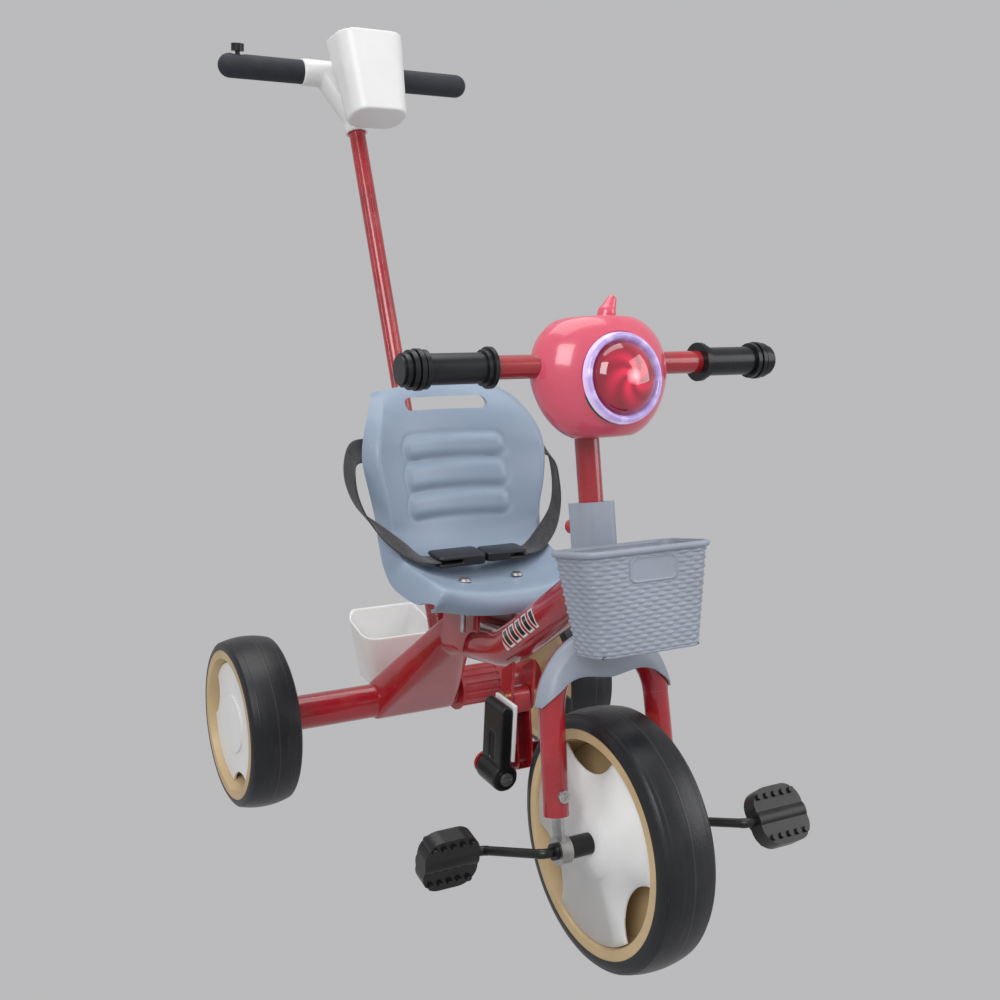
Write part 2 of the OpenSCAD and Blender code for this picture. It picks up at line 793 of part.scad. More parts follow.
// Inverted-U fork with its steerer tube and the race below the lower bush
module fork() {
    race_top = head_z0 - cup_flange - gap;
    red() steer_frame() difference() {
        union() {
            rotate([90, 0, 0]) bent_rod(leg_path, crown_bend, fork_r);
            translate([0, 0, crown_z]) cylinder(r = fork_r - 0.5, h = steerer_top - crown_z);
            translate([0, 0, race_top - 7]) cylinder(r = head_r, h = 7);
        }
        translate([0, 0, steerer_top - 60]) cylinder(r = steerer_bore_r, h = 61);
        for (s = [-1, 1]) {
            translate([s * (dropout_x + 1.5), 0, bolt_z]) rod_y(fork_bolt_r + seat_fit, -20, 20);
            translate([s * (fork_w / 2 + leg_splay), 0, leg_bottom])
                rotate([0, -s * atan(leg_splay / (crown_z - leg_bottom)), 0])
                    translate([0, 0, -10]) cylinder(r = fork_r - tube_wall, h = 60);
        }
    }
}

// Zinc-plated tongues in the fork ends, each curled round the axle
module dropouts() {
    zinc() steer_frame() for (s = [-1, 1]) translate([s * dropout_x, 0, 0]) difference() {
        union() {
            rod_x(13, -6, 6);
            translate([1.5 * s - 2, -8.5, 6]) cube([4, 17, 60]);
        }
        rod_x(crank_rod_r + run_fit, -7, 7);
        translate([1.5 * s, 0, bolt_z]) rod_y(fork_bolt_r + seat_fit, -20, 20);
    }
}

module dropout_bolts() {
    zinc() steer_frame() for (s = [-1, 1]) translate([s * (dropout_x + 1.5), 0, bolt_z]) {
        rod_y(fork_bolt_r, -fork_r - 1, fork_r + 4);
        translate([0, -fork_r, 0]) difference() {
            rod_y(6, -3.5, 0);
            translate([-4, -4, -0.7]) cube([8, 1.5, 1.4]);
            translate([-0.7, -4, -4]) cube([1.4, 1.5, 8]);
        }
        translate([0, fork_r, 0]) rod_y(5.5, 0, 4);
    }
}

// Moulded guard saddled on the crown, with a pointed wing down each leg:
// its section wraps the tube from behind, over the top and down the front.
guard_wall = 2.2;
guard_r = fork_r + 2;
guard_arch_r = fork_w / 2 + 1;
guard_spread = 84;
guard_skirt_z = arch_z + 28;

function guard_point(a, f, r) =
    let (share = abs(a) / guard_spread,
         front_end = 205 - 95 * pow(share, 5),
         back_end = 5 + 42 * pow(share, 6),
         w = back_end + (front_end - back_end) * f,
         rad = guard_arch_r + r * sin(w),
         hang = max(0, (f - 0.72) / 0.28) * (1 - pow(share, 1.5)),
         low = guard_skirt_z - arch_z,
         z = rad * cos(a) * (1 - hang) + min(rad * cos(a), low) * hang)
    [rad * sin(a), r * cos(w), arch_z + z];

module mudguard() {
    arcs = [for (i = [0 : 28]) -guard_spread + i * guard_spread / 14];
    parts = [for (k = [0 : 14]) k / 14];
    grey() steer_frame() difference() {
        grid_shell([for (a = arcs) [for (f = parts) guard_point(a, f, guard_r + guard_wall)]],
                   [for (a = arcs) [for (f = parts) guard_point(a, f, guard_r)]]);
        translate([0, 0, crown_z]) cylinder(r = fork_r + gap, h = 60);
        translate([0, 0, head_z0 - cup_flange - 8 - 2 * gap]) cylinder(r = head_r + 1, h = 60);
    }
}

// Tube from the steerer up into the lamp, leaning forward to meet the handlebar
stem_r = 12;
stem_knee = [0, 0, bar_rise - 50];

// The stem's outline down to the given height, grown by an allowance
module stem_form(grow, from) {
    arm = [0, -bar_forward, bar_rise] - stem_knee;
    translate([0, 0, from]) cylinder(r = stem_r + grow, h = stem_knee[2] - from);
    translate(stem_knee) sphere(stem_r + grow + 0.6);
    translate(stem_knee) rotate([atan2(-arm[1], arm[2]), 0, 0])
        cylinder(r = stem_r + grow, h = norm(arm) - 4);
}

module stem() {
    spigot = 40;
    red() steer_frame() difference() {
        union() {
            stem_form(0, steerer_top);
            translate([0, 0, steerer_top - spigot]) cylinder(r = steerer_bore_r - seat_fit, h = spigot + 1);
        }
        translate([0, -bar_forward, bar_rise]) rod_x(bar_r, -30, 30);
    }
}

module handlebar() {
    red() steer_frame() translate([0, -bar_forward, bar_rise]) difference() {
        rod_x(bar_r, -bar_length / 2 + 6, bar_length / 2 - 6);
        rod_x(bar_r - tube_wall, -bar_length / 2, bar_length / 2);
    }
}

// Ribbed rubber grip with a ball end and an inner flange
module grip(side) {
    from = bar_length / 2 - grip_len;
    black() steer_frame() translate([0, -bar_forward, bar_rise]) mirror([side < 0 ? 1 : 0, 0, 0])
        difference() {
            union() {
                rod_x(grip_r, from, bar_length / 2 - 24);
                rod_x(19, from, from + 4);
                rod_x(16.5, from + 4, from + 9);
                for (i = [0 : 3]) rod_x([17.5, 18.5, 17.5, 15][i], bar_length / 2 - 25 + i * 6,
                                        bar_length / 2 - 20.5 + i * 6);
                rod_x(13, bar_length / 2 - 25, bar_length / 2);
            }
            rod_x(bar_r, from - 1, bar_length / 2 - 6);
        }
}

module grip_right() {
    grip(-1);
}

module grip_left() {
    grip(1);
}

// Half outline of the lamp's rounded fruit form: [radius, height]
lamp_outline = [[0, 40], [9, 46], [22, 55], [38, 55], [54, 46], [66, 30], [71.5, 10], [71, -8],
                [64, -28], [51, -45], [34, -55], [20, -56], [8, -51], [0, -50]];

module lamp_solid(inset) {
    share = (lamp_r - inset) / lamp_r;
    translate([0, lamp_y, lamp_z]) scale([share, share * lamp_flat, share])
        rotate_extrude($fn = 48) polygon(lamp_outline);
}

// The leaf's root is a cone: [radius below, radius above, height]
leaf_root = [6, 9, 22];

module leaf_place() {
    translate([3, lamp_y, lamp_z + 41]) rotate([0, 28, 0]) children();
}

// Hollow housing with its openings; front and back keep one half each
module lamp_housing() {
    difference() {
        lamp_solid(0);
        lamp_solid(lamp_wall);
        translate([0, -bar_forward, bar_rise]) rod_x(bar_hole_r, -100, 100);
        stem_form(0.6, bar_rise - 120);
        translate([0, 0, lamp_z - 4]) rod_y(ring_r + 0.4, lens_y - 40, lens_y + 12);
        leaf_place() cylinder(r1 = leaf_root[0] + seat_fit, r2 = leaf_root[1] + seat_fit, h = leaf_root[2]);
    }
}

module lamp_front_shell() {
    pink() steer_frame() intersection() {
        lamp_housing();
        translate([-100, lamp_y - 100, lamp_z - 100]) cube([200, 100, 200]);
    }
}

module lamp_back_shell() {
    pink() steer_frame() intersection() {
        lamp_housing();
        translate([-100, lamp_y, lamp_z - 100]) cube([200, 100, 200]);
    }
}

module lens_place() {
    steer_frame() translate([0, lens_y, lamp_z - 4]) rotate([90, 0, 0]) children();
}

// Clear ring round the dome, lit from behind
module lamp_ring() {
    color([0.85, 0.80, 0.95, 0.6]) lens_place() rotate_extrude() {
        translate([dome_r + 0.3, -4]) square([ring_r - dome_r - 0.3, 4]);
        translate([(ring_r + dome_r + 0.3) / 2, 0]) circle((ring_r - dome_r - 0.3) / 2);
    }
}

module lamp_dome() {
    color([0.75, 0.05, 0.08, 0.8]) lens_place() intersection() {
        difference() {
            translate([0, 0, -8]) sphere(dome_r);
            translate([0, 0, -8]) sphere(dome_r - 2);
        }
        translate([-50, -50, -4]) cube([100, 100, 60]);
    }
}

// Leaf-shaped stalk that leans over the lamp's left shoulder
module lamp_leaf() {
    tip = leaf_root[2] + 14;
    pink() steer_frame() leaf_place() difference() {
        union() {
            cylinder(r1 = leaf_root[0], r2 = leaf_root[1], h = leaf_root[2]);
            translate([0, 0, leaf_root[2]]) sphere(leaf_root[1]);
            translate([0, 0, leaf_root[2]]) cylinder(r1 = leaf_root[1] - 0.1, r2 = 5, h = tip - leaf_root[2]);
            translate([0, 0, tip]) sphere(5);
        }
        translate([0, 0, -1]) cylinder(r = 2, h = 20);
    }
}

// Circuit board with a circle of small lamps round its edge
module lamp_board() {
    leds = 12;
    color([0.10, 0.35, 0.18]) lens_place() {
        translate([0, 0, -8]) cylinder(r = ring_r - 1, h = 1.6);
        for (i = [0 : leds - 1]) rotate([0, 0, i * 360 / leds])
            translate([(ring_r + dome_r) / 2, 0, -7]) cylinder(r = 2.4, h = 1.4);
        translate([0, 0, -7]) cylinder(r = 5, h = 3.6);
    }
}

// Cells and their case behind the board
module lamp_battery() {
    color([0.15, 0.15, 0.17]) steer_frame() translate([-24, lens_y + 10, lamp_z - 36]) cube([48, 12, 30]);
}

// Grey cover round the stem above the head, with its release button at the back
module stem_cover() {
    grey() steer_frame() difference() {
        translate([0, 0, cover_z0]) linear_extrude(cover_h) round_rect(37, 37, 9);
        translate([0, 0, cover_z0 - 1]) cylinder(r = fork_r + 0.1, h = cover_h + 2);
        translate([button_x, 0, button_z]) rod_y(button_r + gap, cover_back - button_sink, 40);
        translate([button_x, 0, button_z]) rod_y(2 + gap, 10, 30);
        translate([-12, -20, cover_z0 - 1]) cube([24, 3, 6]);
    }
}

button_x = -9;
cover_back = 18.5;
button_z = cover_z0 + 24;
button_r = 7;
button_sink = 6;
button_travel = 3;

module release_button() {
    red() steer_frame() translate([button_x, 0, button_z]) {
        rod_y(button_r, cover_back - button_sink + button_travel + gap, cover_back + 7);
        rod_y(2, 13.5, cover_back);
    }
}

// Woven-look basket hooked on the stem cover; its weave is raised bands
module basket() {
    deep = 72;
    foot_w = basket_w * 0.84;
    z0 = basket_top - basket_h;
    grey() steer_frame() translate([0, basket_back - deep / 2, 0]) difference() {
        union() {
            tapered_block([foot_w, deep - 16, z0], [basket_w, deep, basket_top], 14);
            tapered_block([basket_w + 3, deep + 3, basket_top - 6], [basket_w + 4, deep + 4, basket_top], 15);
            translate([0, -deep / 2 + 2.4, basket_top - 24]) rotate([90, 0, 0])
                linear_extrude(3.4) round_rect(52, 22, 7);
        }
        tapered_block([foot_w - 2 * basket_wall, deep - 16 - 2 * basket_wall, z0 + basket_wall],
                      [basket_w - 2 * basket_wall, deep - 2 * basket_wall, basket_top + 0.2], 12);
    }
}

// ---------- Push handle ----------

module push_pole() {
    grooves = 6;
    red() pole_frame() difference() {
        translate([0, 0, socket_floor]) cylinder(r = pole_r, h = pole_end_s - socket_floor);
        translate([0, 0, socket_floor + 12]) cylinder(r = pole_r - 3, h = pole_end_s - socket_floor - 30);
        for (i = [0 : grooves - 1]) rotate([0, 0, 30 + i * 360 / grooves])
            translate([pole_r + 0.4, 0, socket_top + 8]) cylinder(r = 1.6, h = head_collar_s - socket_top - 14);
    }
}

// Moulded head: collar on the pole, arms round the bar and an open cup in front
module push_head() {
    cup_y = -66;
    cup_s = head_collar_s - 14;
    cup_h = 122;
    white() pole_frame() difference() {
        union() {
            translate([0, 0, head_collar_s]) cylinder(r = pole_r + 4.6, h = 20);
            hull() {
                translate([0, 0, head_collar_s + 16]) cylinder(r = pole_r + 3.6, h = 4, $fn = 32);
                translate([0, 0, push_s]) rod_x(16, -40, 40, $fn = 32);
            }
            translate([0, 0, push_s]) rod_x(17, -push_grip_in, push_grip_in);
            translate([0, cup_y, 0]) tapered_block([74, 52, cup_s], [90, 74, cup_s + cup_h], 22);
            hull() {
                translate([-24, cup_y + 20, head_collar_s + 10]) cube([48, 4, 60]);
                translate([-14, -4, head_collar_s + 14]) cube([28, 4, 56]);
            }
        }
        translate([0, 0, head_collar_s - 1]) cylinder(r = pole_r, h = pole_end_s - head_collar_s + 1);
        translate([0, 0, push_s]) rod_x(push_bar_r, -100, 100);
        translate([0, cup_y, 0]) tapered_block([69, 47, cup_s + 3], [85, 69, cup_s + cup_h + 1], 19.5);
        translate([-80, cup_y, cup_s + cup_h - 18]) rotate([90, 0, 90]) linear_extrude(160)
            polygon([[-60, 0], [-30, 0], [50, 17], [50, 80], [-60, 80]]);
    }
}

module push_bar() {
    red() pole_frame() translate([0, 0, push_s]) difference() {
        rod_x(push_bar_r, -push_bar_length / 2 + 8, push_bar_length / 2 - 8);
        rod_x(push_bar_r - tube_wall, -push_bar_length / 2, push_bar_length / 2);
        push_button_hole();
    }
}

// Straight-up hole through the right grip and the top of the bar
push_button_x = -148;
push_button_r = 8;
push_button_rise = 15;

module push_button_hole() {
    rotate([pole_lean, 0, 0]) translate([push_button_x, 0, 0]) cylinder(r = 3 + run_fit, h = 40);
}

// Foam sleeves with round outer ends on both halves of the push bar
module push_grips() {
    half = push_bar_length / 2;
    black() pole_frame() translate([0, 0, push_s]) for (s = [0, 1]) mirror([s, 0, 0]) difference() {
        rotate([0, 90, 0]) rotate_extrude() intersection() {
            union() {
                translate([0, push_grip_in]) square([push_grip_r, half - push_grip_in - push_grip_r]);
                translate([0, half - push_grip_r]) circle(push_grip_r);
            }
            translate([0, push_grip_in]) square([push_grip_r, half]);
        }
        rod_x(push_bar_r, 0, half - 8);
        if (s == 1) mirror([1, 0, 0]) push_button_hole();
        if (s == 1) mirror([1, 0, 0]) rotate([pole_lean, 0, 0])
            translate([push_button_x, 0, push_grip_r - 1.4]) cylinder(r = push_button_r + 1, h = 20);
    }
}

module push_button() {
    black() pole_frame() translate([0, 0, push_s]) rotate([pole_lean, 0, 0])
        translate([push_button_x, 0, 0]) {
            translate([0, 0, push_button_rise + 3]) cylinder(r = push_button_r, h = 9);
            translate([0, 0, push_bar_r - 6]) cylinder(r = 3, h = push_button_rise);
        }
}

// ---------- Footrests ----------

// Fold-down footrest about a pin along Y, stored upright; side -1 is the rider's right
module footrest(side) {
    black() translate([side * rest_x, rest_y, rest_z]) difference() {
        rotate([90, 0, 0]) translate([0, 0, -rest_w / 2]) linear_extrude(rest_w) union() {
            circle(rest_boss_r);
            translate([side > 0 ? -6 : -8, 0]) square([14, rest_len - 14]);
            translate([side, rest_len - 14]) circle(7);
        }
        rod_y(pin_r + run_fit, -rest_w, rest_w);
        translate([side * 8, 0, 32]) rotate([90, 0, 90])
            translate([0, 0, -3]) linear_extrude(6) round_rect(12, 34, 5.9);
    }
}

module footrest_right() {
    footrest(-1);
}

module footrest_left() {
    footrest(1);
}

// White non-slip face on the inner side of a footrest
module footrest_tread(side) {
    white() translate([side * rest_x, rest_y, rest_z])
        translate([side * -6 - 2 - side * 2, -rest_w / 2 - 1.5, 18]) cube([4, rest_w + 3, rest_len - 24]);
}

module footrest_tread_right() {
    footrest_tread(-1);
}

module footrest_tread_left() {
    footrest_tread(1);
}

main_tube();
rear_beam();
beam_coupling();
head_tube();
head_bearings();
footrest_stay();
stay_bolt();
footrest_pins();
pole_socket();
seat_bracket();
seat_shell();
seat_bolts();
belt_right();
belt_left();
buckle_socket();
buckle_tongue();
rear_bin();
bin_screws();
rear_axle();
rear_axle_nuts();
fork();
dropouts();
dropout_bolts();
mudguard();
stem();
handlebar();
grip_right();
grip_left();
lamp_front_shell();
lamp_back_shell();
lamp_ring();
lamp_dome();
lamp_leaf();
lamp_board();
lamp_battery();
stem_cover();
release_button();
basket();
front_tyre();
front_rim();
front_discs();
crank_axle();
axle_spacers();
pedal_right();
pedal_left();
rear_tyre_right();
rear_rim_right();
rear_disc_right();
rear_tyre_left();
rear_rim_left();
rear_disc_left();
push_pole();
push_head();
push_bar();
push_grips();
push_button();
footrest_right();
footrest_left();
footrest_tread_right();
footrest_tread_left();
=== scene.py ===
# %% [markdown]
# # A child's tricycle, finished in Blender
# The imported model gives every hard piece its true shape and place. This lesson adds what a workshop
# would add last: enamel, moulded grain, woven straps, a pressed seat and a basket with a woven face.
# All sizes are metres, +Z is up, -Y is forward and +X is the rider's left.

# %% Load the model and measure it
import json
import math
import bpy
import numpy as np
from mathutils import Matrix, Vector


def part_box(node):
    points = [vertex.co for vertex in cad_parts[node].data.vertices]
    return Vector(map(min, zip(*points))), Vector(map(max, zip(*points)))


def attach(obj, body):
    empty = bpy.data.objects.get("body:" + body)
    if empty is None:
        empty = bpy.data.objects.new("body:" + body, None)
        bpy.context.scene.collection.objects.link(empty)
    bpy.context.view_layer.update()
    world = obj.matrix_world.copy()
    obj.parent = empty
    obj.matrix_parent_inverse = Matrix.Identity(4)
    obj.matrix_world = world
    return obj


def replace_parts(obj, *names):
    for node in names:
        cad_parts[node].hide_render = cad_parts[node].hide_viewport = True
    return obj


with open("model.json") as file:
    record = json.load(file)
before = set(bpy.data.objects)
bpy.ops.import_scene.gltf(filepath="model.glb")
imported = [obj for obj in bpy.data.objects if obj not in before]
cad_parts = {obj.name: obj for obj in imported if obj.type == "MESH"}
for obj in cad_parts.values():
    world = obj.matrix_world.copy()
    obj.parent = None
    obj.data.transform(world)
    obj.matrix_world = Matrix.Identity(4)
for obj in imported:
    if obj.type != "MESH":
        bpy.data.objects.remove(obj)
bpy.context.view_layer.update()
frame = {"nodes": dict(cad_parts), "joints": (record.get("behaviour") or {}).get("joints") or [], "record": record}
scene = bpy.context.scene
MM = 0.001
print("pieces in the model:", len(frame["nodes"]))

# %% [markdown]
# Two frames are used. The steering column leans back about the front axle, and the rest of the
# tricycle stands square on the ground. One function turns millimetres in the column's frame into
# metres in the world, so that a piece on the fork is written with the same simple numbers as one
# on a bench.

# %% Frame of the steering column
def middle(node):
    low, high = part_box(node)
    return (Vector(low) + Vector(high)) / 2


steering = next(j for j in frame["joints"] if j["name"] == "steering_turn")
STEER_LEAN = math.asin(steering["axis"][1])
STEER_FOOT = Vector(steering["pos_m"])


def on_column(x, y, z):
    s, c = math.sin(STEER_LEAN), math.cos(STEER_LEAN)
    return STEER_FOOT + Vector((x, y * c + z * s, z * c - y * s)) * MM


print("steering leans", round(math.degrees(STEER_LEAN), 1), "degrees")

# %% [markdown]
# The camera stands in front and to the rider's right, a little above the basket, with a longish
# lens. The backdrop is plain pale grey with no floor line, and the light is three big soft panels:
# one key, one fill and one from above.

# %% Camera, backdrop and light
def deselect():
    bpy.ops.object.select_all(action="DESELECT")


def active():
    return bpy.context.view_layer.objects.active


CAMERA_AT = Vector((-656.8, -1200.1, 723.0)) * MM
CAMERA_TURN = math.radians(-29.63)
CAMERA_DIP = math.radians(13.45)
CAMERA_ROLL = math.radians(2.6)
SENSOR = 36

back = Vector((math.sin(CAMERA_TURN) * math.cos(CAMERA_DIP),
               -math.cos(CAMERA_TURN) * math.cos(CAMERA_DIP), math.sin(CAMERA_DIP)))
level = Vector((math.cos(CAMERA_TURN), math.sin(CAMERA_TURN), 0))
upward = back.cross(level)
right = level * math.cos(CAMERA_ROLL) + upward * math.sin(CAMERA_ROLL)
up = upward * math.cos(CAMERA_ROLL) - level * math.sin(CAMERA_ROLL)

bpy.ops.object.camera_add(location=CAMERA_AT)
camera = active()
camera.name = "camera"
camera.rotation_euler = Matrix((right, up, back)).transposed().to_euler()
camera.data.sensor_width = SENSOR
camera.data.lens = 45.01
scene.camera = camera


def soft_panel(name, place, target, width, watts):
    bpy.ops.object.light_add(type="AREA", location=place)
    lamp = active()
    lamp.name = name
    lamp.data.shape = "SQUARE"
    lamp.data.size = width
    lamp.data.energy = watts
    aim = Vector(place) - Vector(target)
    lamp.rotation_euler = aim.to_track_quat("Z", "Y").to_euler()
    return lamp


soft_panel("key_panel", (-2.2, -2.0, 2.6), (0, 0, 0.4), 1.8, 60)
soft_panel("fill_panel", (2.4, -1.8, 1.6), (0, 0, 0.4), 2.0, 30)
soft_panel("top_panel", (0, 0.6, 3.0), (0, 0, 0.3), 2.4, 42)
world = bpy.data.worlds.new("pale_room")
world.use_nodes = True
world.node_tree.nodes["Background"].inputs["Color"].default_value = (0.52, 0.52, 0.53, 1)
world.node_tree.nodes["Background"].inputs["Strength"].default_value = 0.95
scene.world = world
scene.view_settings.view_transform = "Standard"
print("camera looks along", [round(-v, 2) for v in back])

# %% [markdown]
# Five effects turn up on nearly every finish, so each is a node group with named sockets, built
# once. Mottle drifts a colour between two tones. Skin makes the fine pebble of moulded plastic and
# the soft ripple of sprayed enamel. Worn edges find the corners, where paint thins. Dust settles on
# what faces up. Scuffs are long faint scratches. Each gives only masks and heights, and every
# material mixes them with its own colours.

# %% Shader groups for mottle, skin, worn edges, dust and scuffs
def new_group(name, inputs, outputs):
    group = bpy.data.node_groups.new(name, "ShaderNodeTree")
    for label, value in inputs:
        socket = group.interface.new_socket(name=label, in_out="INPUT", socket_type="NodeSocketFloat")
        socket.default_value = value
    for label in outputs:
        group.interface.new_socket(name=label, in_out="OUTPUT", socket_type="NodeSocketFloat")
    take = group.nodes.new("NodeGroupInput")
    give = group.nodes.new("NodeGroupOutput")
    return group, take, give


def math_node(tree, operation, a, b=None, clamp=False):
    node = tree.nodes.new("ShaderNodeMath")
    node.operation = operation
    node.use_clamp = clamp
    for index, value in enumerate((a, b)):
        if value is None:
            continue
        if isinstance(value, (int, float)):
            node.inputs[index].default_value = value
        else:
            tree.links.new(value, node.inputs[index])
    return node.outputs[0]


def noise_node(tree, scale, detail, place=None, rough=0.5):
    node = tree.nodes.new("ShaderNodeTexNoise")
    node.inputs["Detail"].default_value = detail
    node.inputs["Roughness"].default_value = rough
    if isinstance(scale, (int, float)):
        node.inputs["Scale"].default_value = scale
    else:
        tree.links.new(scale, node.inputs["Scale"])
    if place is None:
        place = tree.nodes.new("ShaderNodeTexCoord").outputs["Object"]
    tree.links.new(place, node.inputs["Vector"])
    return node.outputs["Fac"]


def contrast(tree, value, low, high):
    node = tree.nodes.new("ShaderNodeMapRange")
    node.inputs["From Min"].default_value = low
    node.inputs["From Max"].default_value = high
    tree.links.new(value, node.inputs["Value"])
    return node.outputs["Result"]


def build_mottle():
    group, take, give = new_group("mottle", [("Scale", 18)], ["Mask"])
    broad = noise_node(group, take.outputs["Scale"], 5)
    group.links.new(contrast(group, broad, 0.35, 0.65), give.inputs["Mask"])
    return group


def build_skin():
    group, take, give = new_group("skin", [("Grain", 900), ("Ripple", 60)], ["Height"])
    grain = noise_node(group, take.outputs["Grain"], 3)
    ripple = noise_node(group, take.outputs["Ripple"], 2)
    total = math_node(group, "ADD", math_node(group, "MULTIPLY", grain, 0.35), ripple)
    group.links.new(total, give.inputs["Height"])
    return group


def build_worn_edges():
    group, take, give = new_group("worn_edges", [("Patchiness", 60)], ["Mask"])
    bevel = group.nodes.new("ShaderNodeBevel")
    bevel.samples = 4
    bevel.inputs["Radius"].default_value = 0.0012
    geometry = group.nodes.new("ShaderNodeNewGeometry")
    dot = group.nodes.new("ShaderNodeVectorMath")
    dot.operation = "DOT_PRODUCT"
    group.links.new(bevel.outputs["Normal"], dot.inputs[0])
    group.links.new(geometry.outputs["Normal"], dot.inputs[1])
    edge = contrast(group, dot.outputs["Value"], 0.985, 0.86)
    patch = contrast(group, noise_node(group, take.outputs["Patchiness"], 4), 0.42, 0.6)
    group.links.new(math_node(group, "MULTIPLY", edge, patch, clamp=True), give.inputs["Mask"])
    return group


def build_dust():
    group, take, give = new_group("dust", [("Cover", 0.5), ("Scale", 30)], ["Mask"])
    geometry = group.nodes.new("ShaderNodeNewGeometry")
    split = group.nodes.new("ShaderNodeSeparateXYZ")
    group.links.new(geometry.outputs["Normal"], split.inputs["Vector"])
    facing = contrast(group, split.outputs["Z"], -0.2, 1.0)
    cloud = contrast(group, noise_node(group, take.outputs["Scale"], 8, rough=0.65), 0.38, 0.72)
    total = math_node(group, "MULTIPLY", math_node(group, "MULTIPLY", facing, cloud), take.outputs["Cover"])
    group.links.new(total, give.inputs["Mask"])
    return group


def build_scuffs():
    group, take, give = new_group("scuffs", [("Scale", 26)], ["Mask"])
    place = group.nodes.new("ShaderNodeTexCoord").outputs["Object"]
    stretch = group.nodes.new("ShaderNodeMapping")
    stretch.inputs["Rotation"].default_value = (0.4, 0.7, 0.3)
    stretch.inputs["Scale"].default_value = (14, 1, 3)
    group.links.new(place, stretch.inputs["Vector"])
    lines = noise_node(group, take.outputs["Scale"], 3, stretch.outputs["Vector"])
    patch = contrast(group, noise_node(group, 14, 2), 0.5, 0.7)
    sharp = contrast(group, lines, 0.66, 0.72)
    group.links.new(math_node(group, "MULTIPLY", sharp, patch), give.inputs["Mask"])
    return group


MOTTLE = build_mottle()
SKIN = build_skin()
WORN = build_worn_edges()
DUST = build_dust()
SCUFFS = build_scuffs()
print("shader groups:", len(bpy.data.node_groups))

# %% [markdown]
# A finish is then a short recipe: two close tones that drift, a roughness that drifts with them, a
# fine skin, and how much dust, scuff and worn edge the real thing shows. One function writes the
# recipe into a Principled shader. What is the same all over, such as coat or sheen, is set on the
# shader itself.

# %% One recipe for every finish
def use_group(tree, group, **values):
    node = tree.nodes.new("ShaderNodeGroup")
    node.node_tree = group
    for label, value in values.items():
        node.inputs[label].default_value = value
    return node


def mix_colour(tree, mask, a, b):
    node = tree.nodes.new("ShaderNodeMix")
    node.data_type = "RGBA"
    for index, value in ((6, a), (7, b)):
        if isinstance(value, tuple):
            node.inputs[index].default_value = (*value, 1)
        else:
            tree.links.new(value, node.inputs[index])
    tree.links.new(mask, node.inputs[0])
    return node.outputs[2]


def finish(name, tone, deep, rough, drift=0.08, scale=18, grain=900, ripple=60, bump=0.1,
           reach=0.0002, wear=None, dust=0.0, dust_tone=(0.42, 0.38, 0.33), scuff=None, **fixed):
    material = bpy.data.materials.new(name)
    material.use_nodes = True
    tree = material.node_tree
    shader = tree.nodes["Principled BSDF"]
    mask = use_group(tree, MOTTLE, Scale=scale).outputs["Mask"]
    colour = mix_colour(tree, mask, tone, deep)
    roughness = math_node(tree, "ADD", math_node(tree, "MULTIPLY", mask, drift), rough)
    if scuff:
        lines = use_group(tree, SCUFFS).outputs["Mask"]
        colour = mix_colour(tree, math_node(tree, "MULTIPLY", lines, 0.45), colour, scuff)
    if wear:
        edge = use_group(tree, WORN).outputs["Mask"]
        colour = mix_colour(tree, math_node(tree, "MULTIPLY", edge, 0.7), colour, wear)
        roughness = math_node(tree, "ADD", roughness, math_node(tree, "MULTIPLY", edge, 0.15))
    if dust:
        veil = use_group(tree, DUST, Cover=dust).outputs["Mask"]
        colour = mix_colour(tree, veil, colour, dust_tone)
        roughness = math_node(tree, "ADD", roughness, math_node(tree, "MULTIPLY", veil, 0.4))
    tree.links.new(colour, shader.inputs["Base Color"])
    tree.links.new(roughness, shader.inputs["Roughness"])
    skin = use_group(tree, SKIN, Grain=grain, Ripple=ripple)
    relief = tree.nodes.new("ShaderNodeBump")
    relief.inputs["Strength"].default_value = bump
    relief.inputs["Distance"].default_value = reach
    tree.links.new(skin.outputs["Height"], relief.inputs["Height"])
    tree.links.new(relief.outputs["Normal"], shader.inputs["Normal"])
    for label, value in fixed.items():
        shader.inputs[label.replace("_", " ")].default_value = value
    return material


red_enamel = finish("red_enamel", (0.40, 0.012, 0.022), (0.30, 0.008, 0.016), 0.16, ripple=45, bump=0.25,
                    wear=(0.60, 0.16, 0.15), dust=0.16, scuff=(0.55, 0.12, 0.12), Coat_Weight=0.6,
                    Coat_Roughness=0.08)
moulded_red = finish("moulded_red", (0.42, 0.014, 0.024), (0.33, 0.010, 0.018), 0.30, dust=0.2)
seat_plastic = finish("seat_plastic", (0.27, 0.345, 0.445), (0.235, 0.30, 0.395), 0.34, scale=7, grain=1400,
                      bump=0.2, dust=0.12, dust_tone=(0.55, 0.55, 0.56), scuff=(0.46, 0.52, 0.60))
grey_plastic = finish("grey_plastic", (0.33, 0.37, 0.44), (0.28, 0.315, 0.38), 0.34, scale=12, grain=1200,
                      bump=0.2, dust=0.14, dust_tone=(0.52, 0.50, 0.48), scuff=(0.5, 0.52, 0.56))
white_plastic = finish("white_plastic", (0.82, 0.82, 0.81), (0.74, 0.74, 0.735), 0.27, scale=10, bump=0.15,
                       dust=0.14, dust_tone=(0.60, 0.57, 0.52), scuff=(0.6, 0.58, 0.56))
black_nylon = finish("black_nylon", (0.007, 0.007, 0.008), (0.014, 0.014, 0.016), 0.28, bump=0.3,
                     dust=0.03, scuff=(0.06, 0.06, 0.06), Specular_IOR_Level=0.4)
grip_rubber = finish("grip_rubber", (0.006, 0.007, 0.009), (0.012, 0.013, 0.016), 0.24, bump=0.3, dust=0.02,
                     Specular_IOR_Level=0.4)
foam_grip = finish("foam_grip", (0.012, 0.015, 0.021), (0.020, 0.024, 0.032), 0.66, scale=60, grain=2600,
                   ripple=900, bump=0.6, reach=0.0004, dust=0.04)
